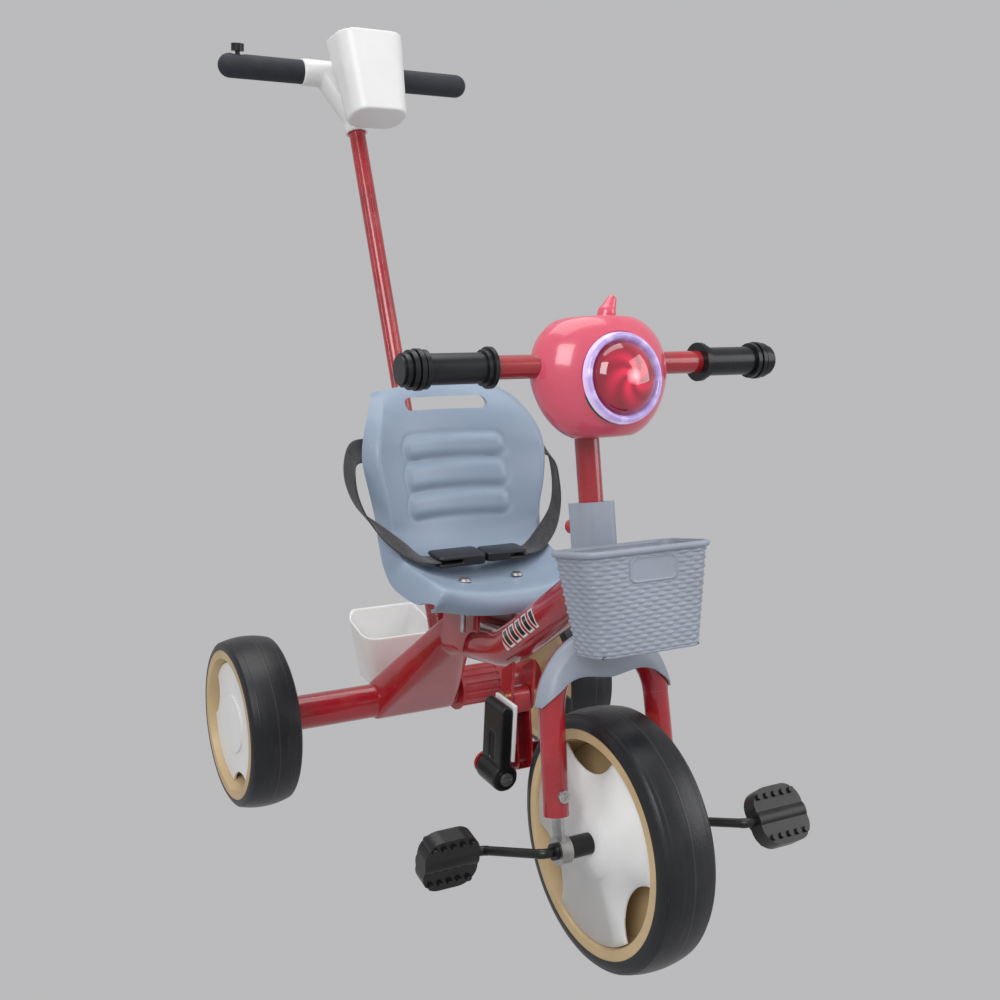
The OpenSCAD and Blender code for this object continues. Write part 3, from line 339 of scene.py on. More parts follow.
tyre_foam = finish("tyre_foam", (0.006, 0.007, 0.009), (0.012, 0.013, 0.016), 0.34, scale=22, grain=1500,
                   ripple=300, bump=0.35, reach=0.0003, dust=0.05, dust_tone=(0.12, 0.11, 0.10),
                   scuff=(0.06, 0.055, 0.05), Specular_IOR_Level=0.45)
rim_plastic = finish("rim_plastic", (0.60, 0.44, 0.24), (0.50, 0.36, 0.19), 0.40, scale=14, bump=0.2,
                     dust=0.18, dust_tone=(0.62, 0.54, 0.42))
zinc_plate = finish("zinc_plate", (0.60, 0.60, 0.60), (0.42, 0.42, 0.43), 0.30, scale=70, ripple=400,
                    bump=0.3, wear=(0.8, 0.8, 0.8), dust=0.1, Metallic=1.0)
gold_zinc = finish("gold_zinc", (0.62, 0.46, 0.22), (0.46, 0.34, 0.16), 0.30, scale=70, ripple=400, bump=0.3,
                   Metallic=1.0)
pink_gloss = finish("pink_gloss", (0.74, 0.105, 0.17), (0.66, 0.080, 0.135), 0.18, scale=9, bump=0.15,
                    dust=0.08, scuff=(0.85, 0.30, 0.36), Coat_Weight=0.5, Coat_Roughness=0.06)
circuit_green = finish("circuit_green", (0.02, 0.14, 0.05), (0.015, 0.10, 0.04), 0.35, scale=200, bump=0.2)
battery_can = finish("battery_can", (0.14, 0.14, 0.16), (0.09, 0.09, 0.10), 0.35, scale=80, bump=0.2)

FINISHES = {
    "main_tube": red_enamel, "rear_beam": red_enamel, "beam_coupling": moulded_red, "head_tube": red_enamel,
    "head_bearings": black_nylon, "footrest_stay": red_enamel, "stay_bolt": gold_zinc,
    "footrest_pins": zinc_plate, "pole_socket": red_enamel, "seat_bracket": red_enamel,
    "seat_shell": seat_plastic, "seat_bolts": zinc_plate, "belt_right": black_nylon,
    "belt_left": black_nylon, "buckle_socket": black_nylon, "buckle_tongue": black_nylon,
    "rear_bin": white_plastic, "bin_screws": zinc_plate, "rear_axle": zinc_plate,
    "rear_axle_nuts": zinc_plate, "fork": red_enamel, "dropouts": zinc_plate, "dropout_bolts": zinc_plate,
    "mudguard": grey_plastic, "stem": red_enamel, "handlebar": red_enamel, "grip_right": grip_rubber,
    "grip_left": grip_rubber, "lamp_front_shell": pink_gloss, "lamp_back_shell": pink_gloss,
    "lamp_ring": white_plastic, "lamp_dome": pink_gloss, "lamp_leaf": pink_gloss,
    "lamp_board": circuit_green, "lamp_battery": battery_can, "stem_cover": grey_plastic,
    "release_button": moulded_red, "basket": grey_plastic, "front_tyre": tyre_foam,
    "front_rim": rim_plastic, "front_discs": white_plastic, "crank_axle": black_nylon,
    "axle_spacers": black_nylon, "pedal_right": black_nylon, "pedal_left": black_nylon,
    "rear_tyre_right": tyre_foam, "rear_rim_right": rim_plastic, "rear_disc_right": white_plastic,
    "rear_tyre_left": tyre_foam, "rear_rim_left": rim_plastic, "rear_disc_left": white_plastic,
    "push_pole": red_enamel, "push_head": white_plastic, "push_bar": red_enamel,
    "push_grips": foam_grip, "push_button": black_nylon, "footrest_right": black_nylon,
    "footrest_tread_right": white_plastic, "footrest_left": black_nylon,
    "footrest_tread_left": white_plastic,
}


def paint(obj, material):
    obj.data.materials.clear()
    obj.data.materials.append(material)


for node, material in FINISHES.items():
    paint(frame["nodes"][node], material)
print("finishes:", len({m.name for m in FINISHES.values()}))

# %% [markdown]
# Sheets, shells and straps all start as a flat grid. `pressed_grid` adds one and moves each of its
# points to where a formula says, as a press does with a blank. `harden` then gives the sheet its
# wall, rounds it by subdivision and applies both, so that what is left is plain mesh.

# %% Helpers that press a flat grid into shape
def only(obj):
    deselect()
    obj.select_set(True)
    bpy.context.view_layer.objects.active = obj


def pressed_grid(name, across, along, place, closed=False):
    deselect()
    bpy.ops.mesh.primitive_grid_add(x_subdivisions=across, y_subdivisions=along, size=2, calc_uvs=True)
    sheet = active()
    sheet.name = name
    for vertex in sheet.data.vertices:
        vertex.co = place((vertex.co.x + 1) / 2, (vertex.co.y + 1) / 2)
    if closed:
        clean(sheet)
    return sheet


def clean(obj, distance=0.00002, outward=True):
    only(obj)
    bpy.ops.object.mode_set(mode="EDIT")
    bpy.ops.mesh.select_all(action="SELECT")
    bpy.ops.mesh.remove_doubles(threshold=distance)
    if outward:
        bpy.ops.mesh.normals_make_consistent(inside=False)
    bpy.ops.object.mode_set(mode="OBJECT")


def apply_modifier(obj, kind, **settings):
    only(obj)
    modifier = obj.modifiers.new(kind.lower(), kind)
    for label, value in settings.items():
        setattr(modifier, label, value)
    bpy.ops.object.modifier_apply(modifier=modifier.name)


def harden(obj, wall=0.0, side=-1, rounds=1):
    if wall:
        apply_modifier(obj, "SOLIDIFY", thickness=wall, offset=side, use_even_offset=False)
    if rounds:
        apply_modifier(obj, "SUBSURF", levels=rounds, render_levels=rounds)
    only(obj)
    bpy.ops.object.shade_smooth()


def smooth_path(points, share):
    """A point on the Catmull-Rom curve through points, at a share of the way from 0 to 1."""
    place = min(max(share, 0), 1) * (len(points) - 1)
    i = min(int(place), len(points) - 2)
    t = place - i
    a, b, c, d = (np.array(points[min(max(k, 0), len(points) - 1)], float) for k in range(i - 1, i + 3))
    point = 2 * b + (c - a) * t
    point = point + (2 * a - 5 * b + 4 * c - d) * t * t
    point = point + (3 * b - a - 3 * c + d) * t ** 3
    return 0.5 * point


def rise(value, low, high):
    share = min(max((value - low) / (high - low), 0), 1)
    return share * share * (3 - 2 * share)


# %% [markdown]
# The seat is one blow-moulded shell. Its outline is a row of stations from the front lip over the
# pan and up to the top edge, each with a width, how far its wings come forward and how far the
# rolled skirt falls back behind them. Three raised pads cross the backrest. The stations are the
# model's own, and the curve between them is smooth. The slot for the fingers is cut last.

# %% The seat shell
PAN_Z = 310
SEAT_HALF = 121
STATIONS = [
    (-96, -20, 0.76, 0, 4, 0, -2), (-101, -7, 0.80, 0, 6, 0, -11), (-93, 5, 0.83, 0, 9, 0, -21),
    (-72, 4, 0.86, 0, 14, 0, -27), (-38, 0, 0.885, 0, 20, 0, -30), (0, 0, 0.90, 2, 24, 0, -30),
    (28, 11, 0.895, 8, 24, 4, -26), (46, 32, 0.895, 18, 16, 12, -14), (56, 58, 0.91, 26, 8, 18, -4),
    (65, 90, 0.96, 32, 2, 20, 0), (75, 123, 1, 34, -2, 20, 2), (82, 150, 0.975, 32, -6, 18, 2),
    (92, 174, 0.89, 26, -8, 15, 2), (106, 191, 0.79, 16, -6, 10, 0), (117, 200, 0.72, 6, -5, 6, -4)]
PADS = [(443, 14.5), (411.5, 17), (379, 15.5)]
PAD_HALF = 66
PAD_CORNER = 13
CREST = 0.86
FRONT_ROUND = 34


def pad_height(x, z):
    height = 0
    for centre, half in PADS:
        reach_x = abs(x) - (PAD_HALF - PAD_CORNER)
        reach_z = abs(z - centre) - (half - PAD_CORNER)
        outside = math.hypot(max(reach_x, 0), max(reach_z, 0)) + min(max(reach_x, reach_z), 0) - PAD_CORNER
        height += 4.2 * rise(-outside, 0, 10) - 1.3 * math.exp(-(outside / 2.4) ** 2)
    return height


def seat_surface(u, w):
    y, z, width, wing_on, wing_up, skirt_back, skirt_up = smooth_path(STATIONS, w)
    t = 2 * u - 1
    a = min(1, abs(t) / CREST)
    b = max(0, (abs(t) - CREST) / (1 - CREST))
    wing, skirt = a ** 2.2, b ** 1.4
    x = math.copysign(SEAT_HALF * width * (abs(t) - 0.02 * skirt), t)
    corner = FRONT_ROUND * abs(t) ** 3 * max(0, 1 - w / 0.22) ** 1.5
    place = np.array((x, y - wing_on * wing + skirt_back * skirt + corner,
                      PAN_Z + z + wing_up * wing + skirt_up * skirt))
    if b == 0 and place[2] > PAN_Z + 30:
        place += pad_height(place[0], place[2]) * np.array((0, -0.95, 0.3))
    return Vector(place) * MM


seat = pressed_grid("seat", 128, 150, seat_surface)
front = seat.vertex_groups.new(name="front")
for vertex in seat.data.vertices:
    share = rise(-vertex.co.y, 0.055, 0.085)
    if share > 0:
        front.add([vertex.index], share, "REPLACE")
apply_modifier(seat, "SMOOTH", factor=0.5, iterations=60, vertex_group="front")
apply_modifier(seat, "SMOOTH", factor=0.5, iterations=3)
harden(seat, wall=4 * MM, side=-1, rounds=0)

deselect()
bpy.ops.mesh.primitive_cylinder_add(vertices=48, radius=7 * MM, depth=90 * MM, rotation=(math.pi / 2, 0, 0))
cutter = active()
for vertex in cutter.data.vertices:
    vertex.co.x += math.copysign(46 * MM, vertex.co.x)
cutter.location = Vector((0, 100, PAN_Z + 180)) * MM
apply_modifier(seat, "BOOLEAN", object=cutter, operation="DIFFERENCE", solver="EXACT")
bpy.data.objects.remove(cutter)
only(seat)
bpy.ops.object.shade_smooth_by_angle(angle=math.radians(50))
paint(seat, seat_plastic)
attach(seat, "frame")
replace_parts(seat, "seat_shell")
print("seat faces:", len(seat.data.polygons), "size:", [round(v, 3) for v in seat.dimensions])

# %% [markdown]
# Two straps of flat woven webbing come out from behind the backrest, loop round the wings and meet
# at a side-release buckle on the pan. A strap is a thin sheet pressed along a route, so its weave
# can follow the sheet's own map: one direction across, the other along. A simulation would lose
# webbing this thin, so the loops are shaped from listed points.

# %% Webbing and its straps
STRAP_WIDE = 28
STRAP_THICK = 1.8
STRAP_ROUTE = [
    ((58, 109, 436), (0, 0, 1)), ((96, 100, 438), (0, 0.3, 1)), ((120, 82, 438), (0.1, 0.8, 0.8)),
    ((131, 66, 424), (0.15, 1, 0.3)), ((132, 54, 402), (0.15, 1, 0.2)), ((125, 38, 379), (0.1, 1, 0.3)),
    ((108, 18, 359), (0, 1, 0.8)), ((84, 4, 341), (0, 1, 0.6)), ((67, -1, 332), (0, 1, 0.1)),
    ((53, -2, 330.8), (0, 1, 0))]


def webbing_finish(length, width):
    material = bpy.data.materials.new("webbing")
    material.use_nodes = True
    tree = material.node_tree
    shader = tree.nodes["Principled BSDF"]
    spread = tree.nodes.new("ShaderNodeMapping")
    spread.inputs["Scale"].default_value = (width * 620, length * 620, 1)
    spread.inputs["Rotation"].default_value = (0, 0, math.radians(45))
    tree.links.new(tree.nodes.new("ShaderNodeUVMap").outputs["UV"], spread.inputs["Vector"])
    checks = tree.nodes.new("ShaderNodeTexVoronoi")
    checks.distance = "CHEBYCHEV"
    checks.inputs["Randomness"].default_value = 0.12
    checks.inputs["Scale"].default_value = 1.0
    tree.links.new(spread.outputs["Vector"], checks.inputs["Vector"])
    # painted shade: the grooves between the raised checks of the weave are coloured darker, standing in for the
    # shade that falls in them
    weave_groove_shade = contrast(tree, checks.outputs["Distance"], 0.1, 0.5)
    tone = mix_colour(tree, weave_groove_shade, (0.034, 0.034, 0.040), (0.008, 0.008, 0.010))
    fuzz = use_group(tree, DUST, Cover=0.35, Scale=160).outputs["Mask"]
    tree.links.new(mix_colour(tree, fuzz, tone, (0.12, 0.115, 0.11)), shader.inputs["Base Color"])
    shader.inputs["Roughness"].default_value = 0.78
    shader.inputs["Sheen Weight"].default_value = 0.25
    relief = tree.nodes.new("ShaderNodeBump")
    relief.invert = True
    relief.inputs["Strength"].default_value = 0.8
    relief.inputs["Distance"].default_value = 0.0006
    tree.links.new(checks.outputs["Distance"], relief.inputs["Height"])
    tree.links.new(relief.outputs["Normal"], shader.inputs["Normal"])
    return material


webbing = webbing_finish(0.28, 0.028)


def strap(name, side):
    places = [p for p, d in STRAP_ROUTE]
    widths = [d for p, d in STRAP_ROUTE]

    def ribbon(u, w):
        way = smooth_path(widths, w)
        way = way / np.linalg.norm(way)
        place = smooth_path(places, w) + way * (u - 0.5) * STRAP_WIDE
        place[2] += 0.5 * math.sin(w * 24) * math.cos(3 * u)
        return Vector((side * place[0], place[1], place[2])) * MM

    piece = pressed_grid(name, 6, 110, ribbon)
    harden(piece, wall=STRAP_THICK * MM, side=0, rounds=1)
    paint(piece, webbing)
    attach(piece, "frame")
    return piece


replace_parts(strap("strap_right", -1), "belt_right")
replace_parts(strap("strap_left", 1), "belt_left")
print("straps pressed along", len(STRAP_ROUTE), "points")

# %% [markdown]
# The basket is moulded plastic that imitates wicker: flat strands pass in front of and behind
# upright stakes, row after row, under a plain rolled rim. The wall is one band pressed round a
# rounded rectangle that widens upwards, and the wave of each strand is real relief, so the rows
# show on the outline too. A blank name plate stands proud at the front.

# %% The woven basket
BASKET_HALF = (69, 36)
BASKET_FOOT_HALF = (58, 28)
BASKET_TOP = 286
BASKET_DEEP = 97
BASKET_MIDDLE = -62
BASKET_CORNER = 15
WEAVE_ROWS = 22
STAKES = 44
RIM_HALF = (2.4, 3.0)
PLATE_HALF = (26, 11.5)
PLATE_CORNER = 6
PLATE_DROP = 20
PLATE_PROFILE = [(1.0, 0), (1.0, 1.6), (0.93, 2.4), (0.86, 1.7), (0.4, 1.7), (0.0, 1.7)]


def round_rectangle(share, half_x, half_y, corner):
    """Place and outward way at a share of the way round a rounded rectangle."""
    flat_x, flat_y, arc = 2 * (half_x - corner), 2 * (half_y - corner), math.pi / 2 * corner
    way = (share % 1) * (2 * flat_x + 2 * flat_y + 4 * arc)
    turn, x, y = 0, half_x - corner, -(half_y - corner)
    for straight in (flat_y, flat_x, flat_y, flat_x):
        ahead = (-math.sin(turn), math.cos(turn))
        out = (math.cos(turn), math.sin(turn))
        if way <= straight:
            return x + ahead[0] * way + out[0] * corner, y + ahead[1] * way + out[1] * corner, out
        way -= straight
        x, y = x + ahead[0] * straight, y + ahead[1] * straight
        if way <= arc:
            angle = turn + way / corner
            out = (math.cos(angle), math.sin(angle))
            return x + out[0] * corner, y + out[1] * corner, out
        way -= arc
        turn += math.pi / 2
    return x, y, out


def plate_mask(x, height):
    return rise(28 - abs(x), 0, 2) * rise(12.5 - abs(height - BASKET_TOP + PLATE_DROP), 0, 2)


def basket_wall(u, w):
    z = BASKET_TOP - BASKET_DEEP + 2 + w * (BASKET_DEEP - 2)
    half = [f + (t - f) * w for f, t in zip(BASKET_FOOT_HALF, BASKET_HALF)]
    x, y, out = round_rectangle(u, half[0] - 1.8, half[1] - 1.8, BASKET_CORNER)
    row = w * (BASKET_DEEP - 2) / (BASKET_DEEP - 8) * WEAVE_ROWS
    strand = abs(math.sin(math.pi * row)) ** 0.7
    wave = math.cos(math.pi * STAKES * u + math.pi * math.floor(row))
    relief = (0.2 + 0.8 * strand) * (0.66 + 0.34 * wave) * 2.0
    if row > WEAVE_ROWS or (out[1] < -0.9 and plate_mask(x, z) > 0):
        relief = 1.0
    return on_column(x + out[0] * relief, BASKET_MIDDLE + y + out[1] * relief, z)


basket = pressed_grid("basket_weave", 352, 132, basket_wall, closed=True)
harden(basket, wall=1.6 * MM, side=-1, rounds=0)


def basket_floor(u, w):
    x = (2 * u - 1) * (BASKET_FOOT_HALF[0] - 1)
    y = (2 * w - 1) * (BASKET_FOOT_HALF[1] - 1)
    corner = BASKET_CORNER
    over_x = abs(x) - (BASKET_FOOT_HALF[0] - 1 - corner)
    over_y = abs(y) - (BASKET_FOOT_HALF[1] - 1 - corner)
    if over_x > 0 and over_y > 0:
        pull = max(math.hypot(over_x, over_y) / corner, 1)
        x -= math.copysign(over_x * (1 - 1 / pull), x)
        y -= math.copysign(over_y * (1 - 1 / pull), y)
    return on_column(x, BASKET_MIDDLE + y, BASKET_TOP - BASKET_DEEP + 1.4)


floor_panel = pressed_grid("basket_base", 40, 24, basket_floor)
harden(floor_panel, wall=2.4 * MM, side=0, rounds=0)


def rim_band(u, w):
    x, y, out = round_rectangle(u, BASKET_HALF[0] - 0.5, BASKET_HALF[1] - 0.5, BASKET_CORNER)
    angle = 2 * math.pi * w
    reach = RIM_HALF[0] * math.cos(angle)
    return on_column(x + out[0] * reach, BASKET_MIDDLE + y + out[1] * reach,
                     BASKET_TOP - 2.8 + RIM_HALF[1] * math.sin(angle))


rim = pressed_grid("basket_rim", 200, 12, rim_band, closed=True)
harden(rim, rounds=0)


def plate_face(u, w):
    x, y, _ = round_rectangle(u, *PLATE_HALF, PLATE_CORNER)
    scale, proud = smooth_path(PLATE_PROFILE, w)
    height = BASKET_TOP - PLATE_DROP + y * scale
    share = (height - (BASKET_TOP - BASKET_DEEP)) / BASKET_DEEP
    front = BASKET_FOOT_HALF[1] + (BASKET_HALF[1] - BASKET_FOOT_HALF[1]) * share
    return on_column(x * scale, BASKET_MIDDLE - front + 1.6 - proud, height)


plate = pressed_grid("basket_plate", 96, 16, plate_face, closed=True)
harden(plate, rounds=0)
for piece in (basket, floor_panel, rim, plate):
    paint(piece, grey_plastic)
    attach(piece, "steering")
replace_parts(basket, "basket")
print("strands:", WEAVE_ROWS, "stakes:", STAKES, "faces:", len(basket.data.polygons))

# %% [markdown]
# Some pieces are welded, cast or moulded in one, so their corners flow into each other. The model
# gives them as plain solids that meet at sharp lines. `recast` copies such a solid, merges its
# loose triangles, rebuilds it as one even skin and relaxes that skin, which rounds every corner and
# fills every joint a little, as a weld or a mould does. `soften` only rounds the edges, for a piece
# too thin to be rebuilt.

# %% Helpers that recast or soften a plain solid
def copy_of(node, name):
    source = frame["nodes"][node]
    piece = bpy.data.objects.new(name, source.data.copy())
    scene.collection.objects.link(piece)
    piece.matrix_world = source.matrix_world
    clean(piece, outward=False)
    return piece


def body_of(node):
    return next(name for name, nodes in frame["record"]["behaviour"]["bodies"].items() if node in nodes)


def stand_for(piece, node, material):
    paint(piece, material)
    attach(piece, body_of(node))
    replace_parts(piece, node)
    return piece


def recast(node, name, material, voxel, relax):
    piece = copy_of(node, name)
    apply_modifier(piece, "REMESH", mode="VOXEL", voxel_size=voxel * MM, use_smooth_shade=True)
    apply_modifier(piece, "SMOOTH", factor=0.5, iterations=relax)
    only(piece)
    bpy.ops.object.shade_smooth()
    print(name, "faces:", len(piece.data.polygons))
    return stand_for(piece, node, material)


def soften(node, name, material, radius):
    piece = copy_of(node, name)
    only(piece)
    bpy.ops.object.mode_set(mode="EDIT")
    bpy.ops.mesh.select_all(action="SELECT")
    bpy.ops.mesh.dissolve_limited(angle_limit=math.radians(1))
    bpy.ops.object.mode_set(mode="OBJECT")
    apply_modifier(piece, "BEVEL", width=radius * MM, segments=3, limit_method="ANGLE",
                   angle_limit=math.radians(35), harden_normals=False)
    only(piece)
    bpy.ops.object.shade_smooth_by_angle(angle=math.radians(40))
    return stand_for(piece, node, material)


# %% [markdown]
# The frame tube is one bent tube with a pressed yoke welded over the rear beam. It is thinner than
# a skin of this fineness can hold, so its outside is made afresh: a tube swept along the bent line,
# the yoke as the hull of two rings, then both merged into one skin and relaxed.

# %% The frame tube and its yoke
TUBE_ROUND = 22
TUBE_LINE = [(-234, 366), (-196, 336.5), (-120, 277.5), (-98, 261.5), (-74, 246.5), (-46, 238.5), (10, 226.5),
             (58, 214), (84, 191), (112, 158)]
YOKE_RING = 21
YOKE_FRONT = 40
YOKE_BACK = 58
YOKE_Z = 222
BEAM_RING = 24
BEAM_AT = (157, 102)
YOKE_ENDS = (-56, 50)
RING_STEPS = 40


def tube_skin(u, w):
    y, z = smooth_path(TUBE_LINE, w)
    y_on, z_on = smooth_path(TUBE_LINE, min(w + 0.01, 1))
    y_off, z_off = smooth_path(TUBE_LINE, max(w - 0.01, 0))
    run = np.array((y_on - y_off, z_on - z_off))
    run /= np.linalg.norm(run)
    angle = 2 * math.pi * u
    lift = TUBE_ROUND * math.sin(angle)
    return Vector((TUBE_ROUND * math.cos(angle), y - run[1] * lift, z + run[0] * lift)) * MM


def ring_of(centre, radius, normal_axis):
    points = []
    for k in range(RING_STEPS):
        angle = 2 * math.pi * k / RING_STEPS
        a, b = radius * math.cos(angle), radius * math.sin(angle)
        off = (a, 0, b) if normal_axis == "Y" else (0, a, b)
        points.append((centre[0] + off[0], centre[1] + off[1], centre[2] + off[2]))
    return points


def cast_frame_tube():
    tube = pressed_grid("frame_tube", RING_STEPS, 120, tube_skin, closed=True)
    only(tube)
    bpy.ops.object.mode_set(mode="EDIT")
    bpy.ops.mesh.select_all(action="SELECT")
    bpy.ops.mesh.fill_holes(sides=0)
    bpy.ops.mesh.normals_make_consistent(inside=False)
    bpy.ops.object.mode_set(mode="OBJECT")
    corners = []
    for y in (YOKE_FRONT, YOKE_BACK):
        corners += ring_of((0, y, YOKE_Z), YOKE_RING, "Y")
    for end in YOKE_ENDS:
        corners += ring_of((end, *BEAM_AT), BEAM_RING, "X")
    deselect()
    bpy.ops.mesh.primitive_circle_add(vertices=len(corners), radius=1)
    yoke = active()
    for vertex, corner in zip(yoke.data.vertices, corners):
        vertex.co = Vector(corner) * MM
    bpy.ops.object.mode_set(mode="EDIT")
    bpy.ops.mesh.select_all(action="SELECT")
    bpy.ops.mesh.convex_hull()
    bpy.ops.object.mode_set(mode="OBJECT")
    deselect()
    yoke.select_set(True)
    tube.select_set(True)
    bpy.context.view_layer.objects.active = tube
    bpy.ops.object.join()
    apply_modifier(tube, "REMESH", mode="VOXEL", voxel_size=1.8 * MM, use_smooth_shade=True)
    apply_modifier(tube, "SMOOTH", factor=0.5, iterations=14)
    only(tube)
    bpy.ops.object.shade_smooth()
    return tube


# %% [markdown]
# The frame tube carries slanted two-colour bars where the maker puts a badge. They are printed on
# the paint, so they belong in the material: two directions in the tube's own plane give a place
# along it and across it, and a repeating ramp along the slant makes the bars.

# %% Enamel with slanted bars
BADGE_FROM = Vector((0, -234, 366)) * MM
BADGE_TO = Vector((0, -82, 248)) * MM
BADGE_START = 88 * MM
BADGE_END = 166 * MM
BADGE_HALF = 11 * MM
BAR_PITCH = 15.5 * MM


def directed(tree, place, origin, way):
    offset = tree.nodes.new("ShaderNodeVectorMath")
    offset.operation = "SUBTRACT"
    offset.inputs[1].default_value = origin
    tree.links.new(place, offset.inputs[0])
    dot = tree.nodes.new("ShaderNodeVectorMath")
    dot.operation = "DOT_PRODUCT"
    dot.inputs[1].default_value = way
    tree.links.new(offset.outputs["Vector"], dot.inputs[0])
    return dot.outputs["Value"]


def within(tree, value, low, high, soft=0.0004):
    rising = contrast(tree, value, low - soft, low + soft)
    falling = contrast(tree, value, high + soft, high - soft)
    return math_node(tree, "MULTIPLY", rising, falling)


def badge_enamel():
    material = red_enamel.copy()
    material.name = "red_enamel_barred"
    tree = material.node_tree
    shader = tree.nodes["Principled BSDF"]
    paint_colour = shader.inputs["Base Color"].links[0].from_socket
    place = tree.nodes.new("ShaderNodeTexCoord").outputs["Object"]
    along = (BADGE_TO - BADGE_FROM).normalized()
    across = Vector((0, -along.z, along.y))
    s = directed(tree, place, BADGE_FROM, along)
    q = directed(tree, place, BADGE_FROM, across)
    slanted = math_node(tree, "SUBTRACT", s, math_node(tree, "MULTIPLY", q, 0.45))
    repeat = math_node(tree, "PINGPONG", slanted, BAR_PITCH / 2)
    field = math_node(tree, "MULTIPLY", within(tree, s, BADGE_START, BADGE_END),
                      within(tree, q, -BADGE_HALF, BADGE_HALF))
    inner_field = math_node(tree, "MULTIPLY", within(tree, s, BADGE_START + 0.002, BADGE_END - 0.002),
                            within(tree, q, 0.002 - BADGE_HALF, BADGE_HALF - 0.002))
    pale = math_node(tree, "MULTIPLY", field, contrast(tree, repeat, 0.0058, 0.0052))
    dark = math_node(tree, "MULTIPLY", inner_field, contrast(tree, repeat, 0.0040, 0.0034))
    colour = mix_colour(tree, pale, paint_colour, (0.72, 0.70, 0.69))
    colour = mix_colour(tree, dark, colour, (0.012, 0.011, 0.012))
    tree.links.new(colour, shader.inputs["Base Color"])
    return material


frame_tube = cast_frame_tube()
stand_for(frame_tube, "main_tube", badge_enamel())
print("frame tube faces:", len(frame_tube.data.polygons))
recast("push_head", "handle_head", white_plastic, voxel=1.7, relax=7)
recast("rear_bin", "bin", white_plastic, voxel=1.35, relax=5)
for end in ("right", "left"):
    recast("footrest_" + end, "footrest_arm_" + end, black_nylon, voxel=1.0, relax=16)
    soften("footrest_tread_" + end, "footrest_pad_" + end, white_plastic, radius=1.2)
soften("buckle_socket", "buckle_body", black_nylon, radius=2.2)
soften("buckle_tongue", "buckle_fork", black_nylon, radius=1.8)

# %% [markdown]
# The guard sits over the fork's crown like a saddle. It wraps the tube, drops a short skirt in
# front and runs out to a point down each leg. Its section is an arc of the fork's own round, so it
# is pressed from a grid whose one direction runs along the crown and whose other wraps the tube. A
# raised spine and a thin red line follow each wing.

# %% The fork guard
FORK_HALF = 58.5
FORK_TUBE = 12.5
ARCH_Z = 130
GUARD_SPREAD = 84
GUARD_INNER = FORK_TUBE + 2
GUARD_WALL = 2.2


def guard_place(arc, f, lift):
    share = abs(arc) / GUARD_SPREAD
    front_end = 205 - 95 * share ** 5
    back_end = 5 + 42 * share ** 6
    wrap = math.radians(back_end + (front_end - back_end) * f)
    spine = 1.6 * math.exp(-((f - 0.5) / 0.07) ** 2) * (0.3 + 0.7 * share)
    radius = GUARD_INNER + GUARD_WALL + lift + spine
    out = FORK_HALF + 1 + radius * math.sin(wrap)
    hang = max(0, (f - 0.72) / 0.28) * (1 - share ** 1.5)
    angle = math.radians(arc)
    z = out * math.cos(angle) * (1 - hang) + min(out * math.cos(angle), 28) * hang
    return on_column(out * math.sin(angle), radius * math.cos(wrap), ARCH_Z + z)


def guard_sheet(u, w):
    return guard_place((2 * u - 1) * GUARD_SPREAD, w, 0)


guard = pressed_grid("fork_guard", 120, 44, guard_sheet)
harden(guard, wall=GUARD_WALL * MM, side=1, rounds=1)
stand_for(guard, "mudguard", grey_plastic)

for end in (-1, 1):
    def line_sheet(u, w):
        arc = end * (30 + 52 * u)
        return guard_place(arc, 0.34 + 0.08 * u + 0.035 * (w - 0.5) * (1 - u * 0.6), 0.8)

    line = pressed_grid("guard_line_" + ("right" if end < 0 else "left"), 40, 3, line_sheet)
    harden(line, wall=0.3 * MM, side=0, rounds=0)
    paint(line, moulded_red)
    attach(line, "steering")
print("guard pressed with its spine and lines")

# %% [markdown]
# The lamp is blown like a rounded fruit: broad shoulders, a dip for the leaf and a narrower foot.
# Its two halves are pressed as one smooth turned skin, and the round seat of the lens is cut out of
# it. The ring and the dome are turned in the same way from their own short profiles.

# %% Lamp body, ring, dome and leaf
LAMP_AT = (0, -29, 444)
LAMP_FLAT = 0.62
LAMP_PROFILE = [(0, 37), (10, 41), (20, 50), (32, 55.5), (45, 53), (57, 44), (66, 31), (71, 14), (71, -3),
                (66, -20), (58, -35), (47, -47), (36, -54), (26, -56.5), (14, -53), (0, -50)]
LENS_Y = -69
LENS_Z = 440
RING_PROFILE = [(34.6, -3), (34.8, 0.5), (35.8, 3.2), (37.8, 4.6), (40, 4.0), (41.6, 1.8), (42.6, -3)]
DOME_PROFILE = [(34.4, -3), (34.2, 0), (31.5, 5.5), (26, 10.5), (18, 14.2), (9, 16.3), (0, 17)]


def turned_on_column(profile, at, facing_front, flat=1.0):
    def skin(u, w):
        radius, height = smooth_path(profile, w)
        angle = 2 * math.pi * u
        a, b = max(radius, 0) * math.cos(angle), max(radius, 0) * math.sin(angle)
        if facing_front:
            return on_column(at[0] + a, at[1] - height, at[2] + b)
        return on_column(at[0] + a, at[1] + b * flat, at[2] + height)
    return skin


lamp_skin = turned_on_column(LAMP_PROFILE, LAMP_AT, False, LAMP_FLAT)
lamp = pressed_grid("lamp_body", 96, 80, lamp_skin, closed=True)
deselect()
seat_of_lens = on_column(0, LENS_Y - 20, LENS_Z)
bpy.ops.mesh.primitive_cylinder_add(vertices=96, radius=43.2 * MM, depth=50 * MM, location=seat_of_lens,
                                    rotation=(math.pi / 2 - STEER_LEAN, 0, 0))
cutter = active()
apply_modifier(lamp, "BOOLEAN", object=cutter, operation="DIFFERENCE", solver="EXACT")
bpy.data.objects.remove(cutter)
only(lamp)
bpy.ops.object.shade_smooth_by_angle(angle=math.radians(45))
stand_for(lamp, "lamp_front_shell", pink_gloss)
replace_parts(lamp, "lamp_back_shell")
ring_glass = pressed_grid("lamp_lit_ring", 96, 24, turned_on_column(RING_PROFILE, (0, LENS_Y, LENS_Z), True),
                          closed=True)
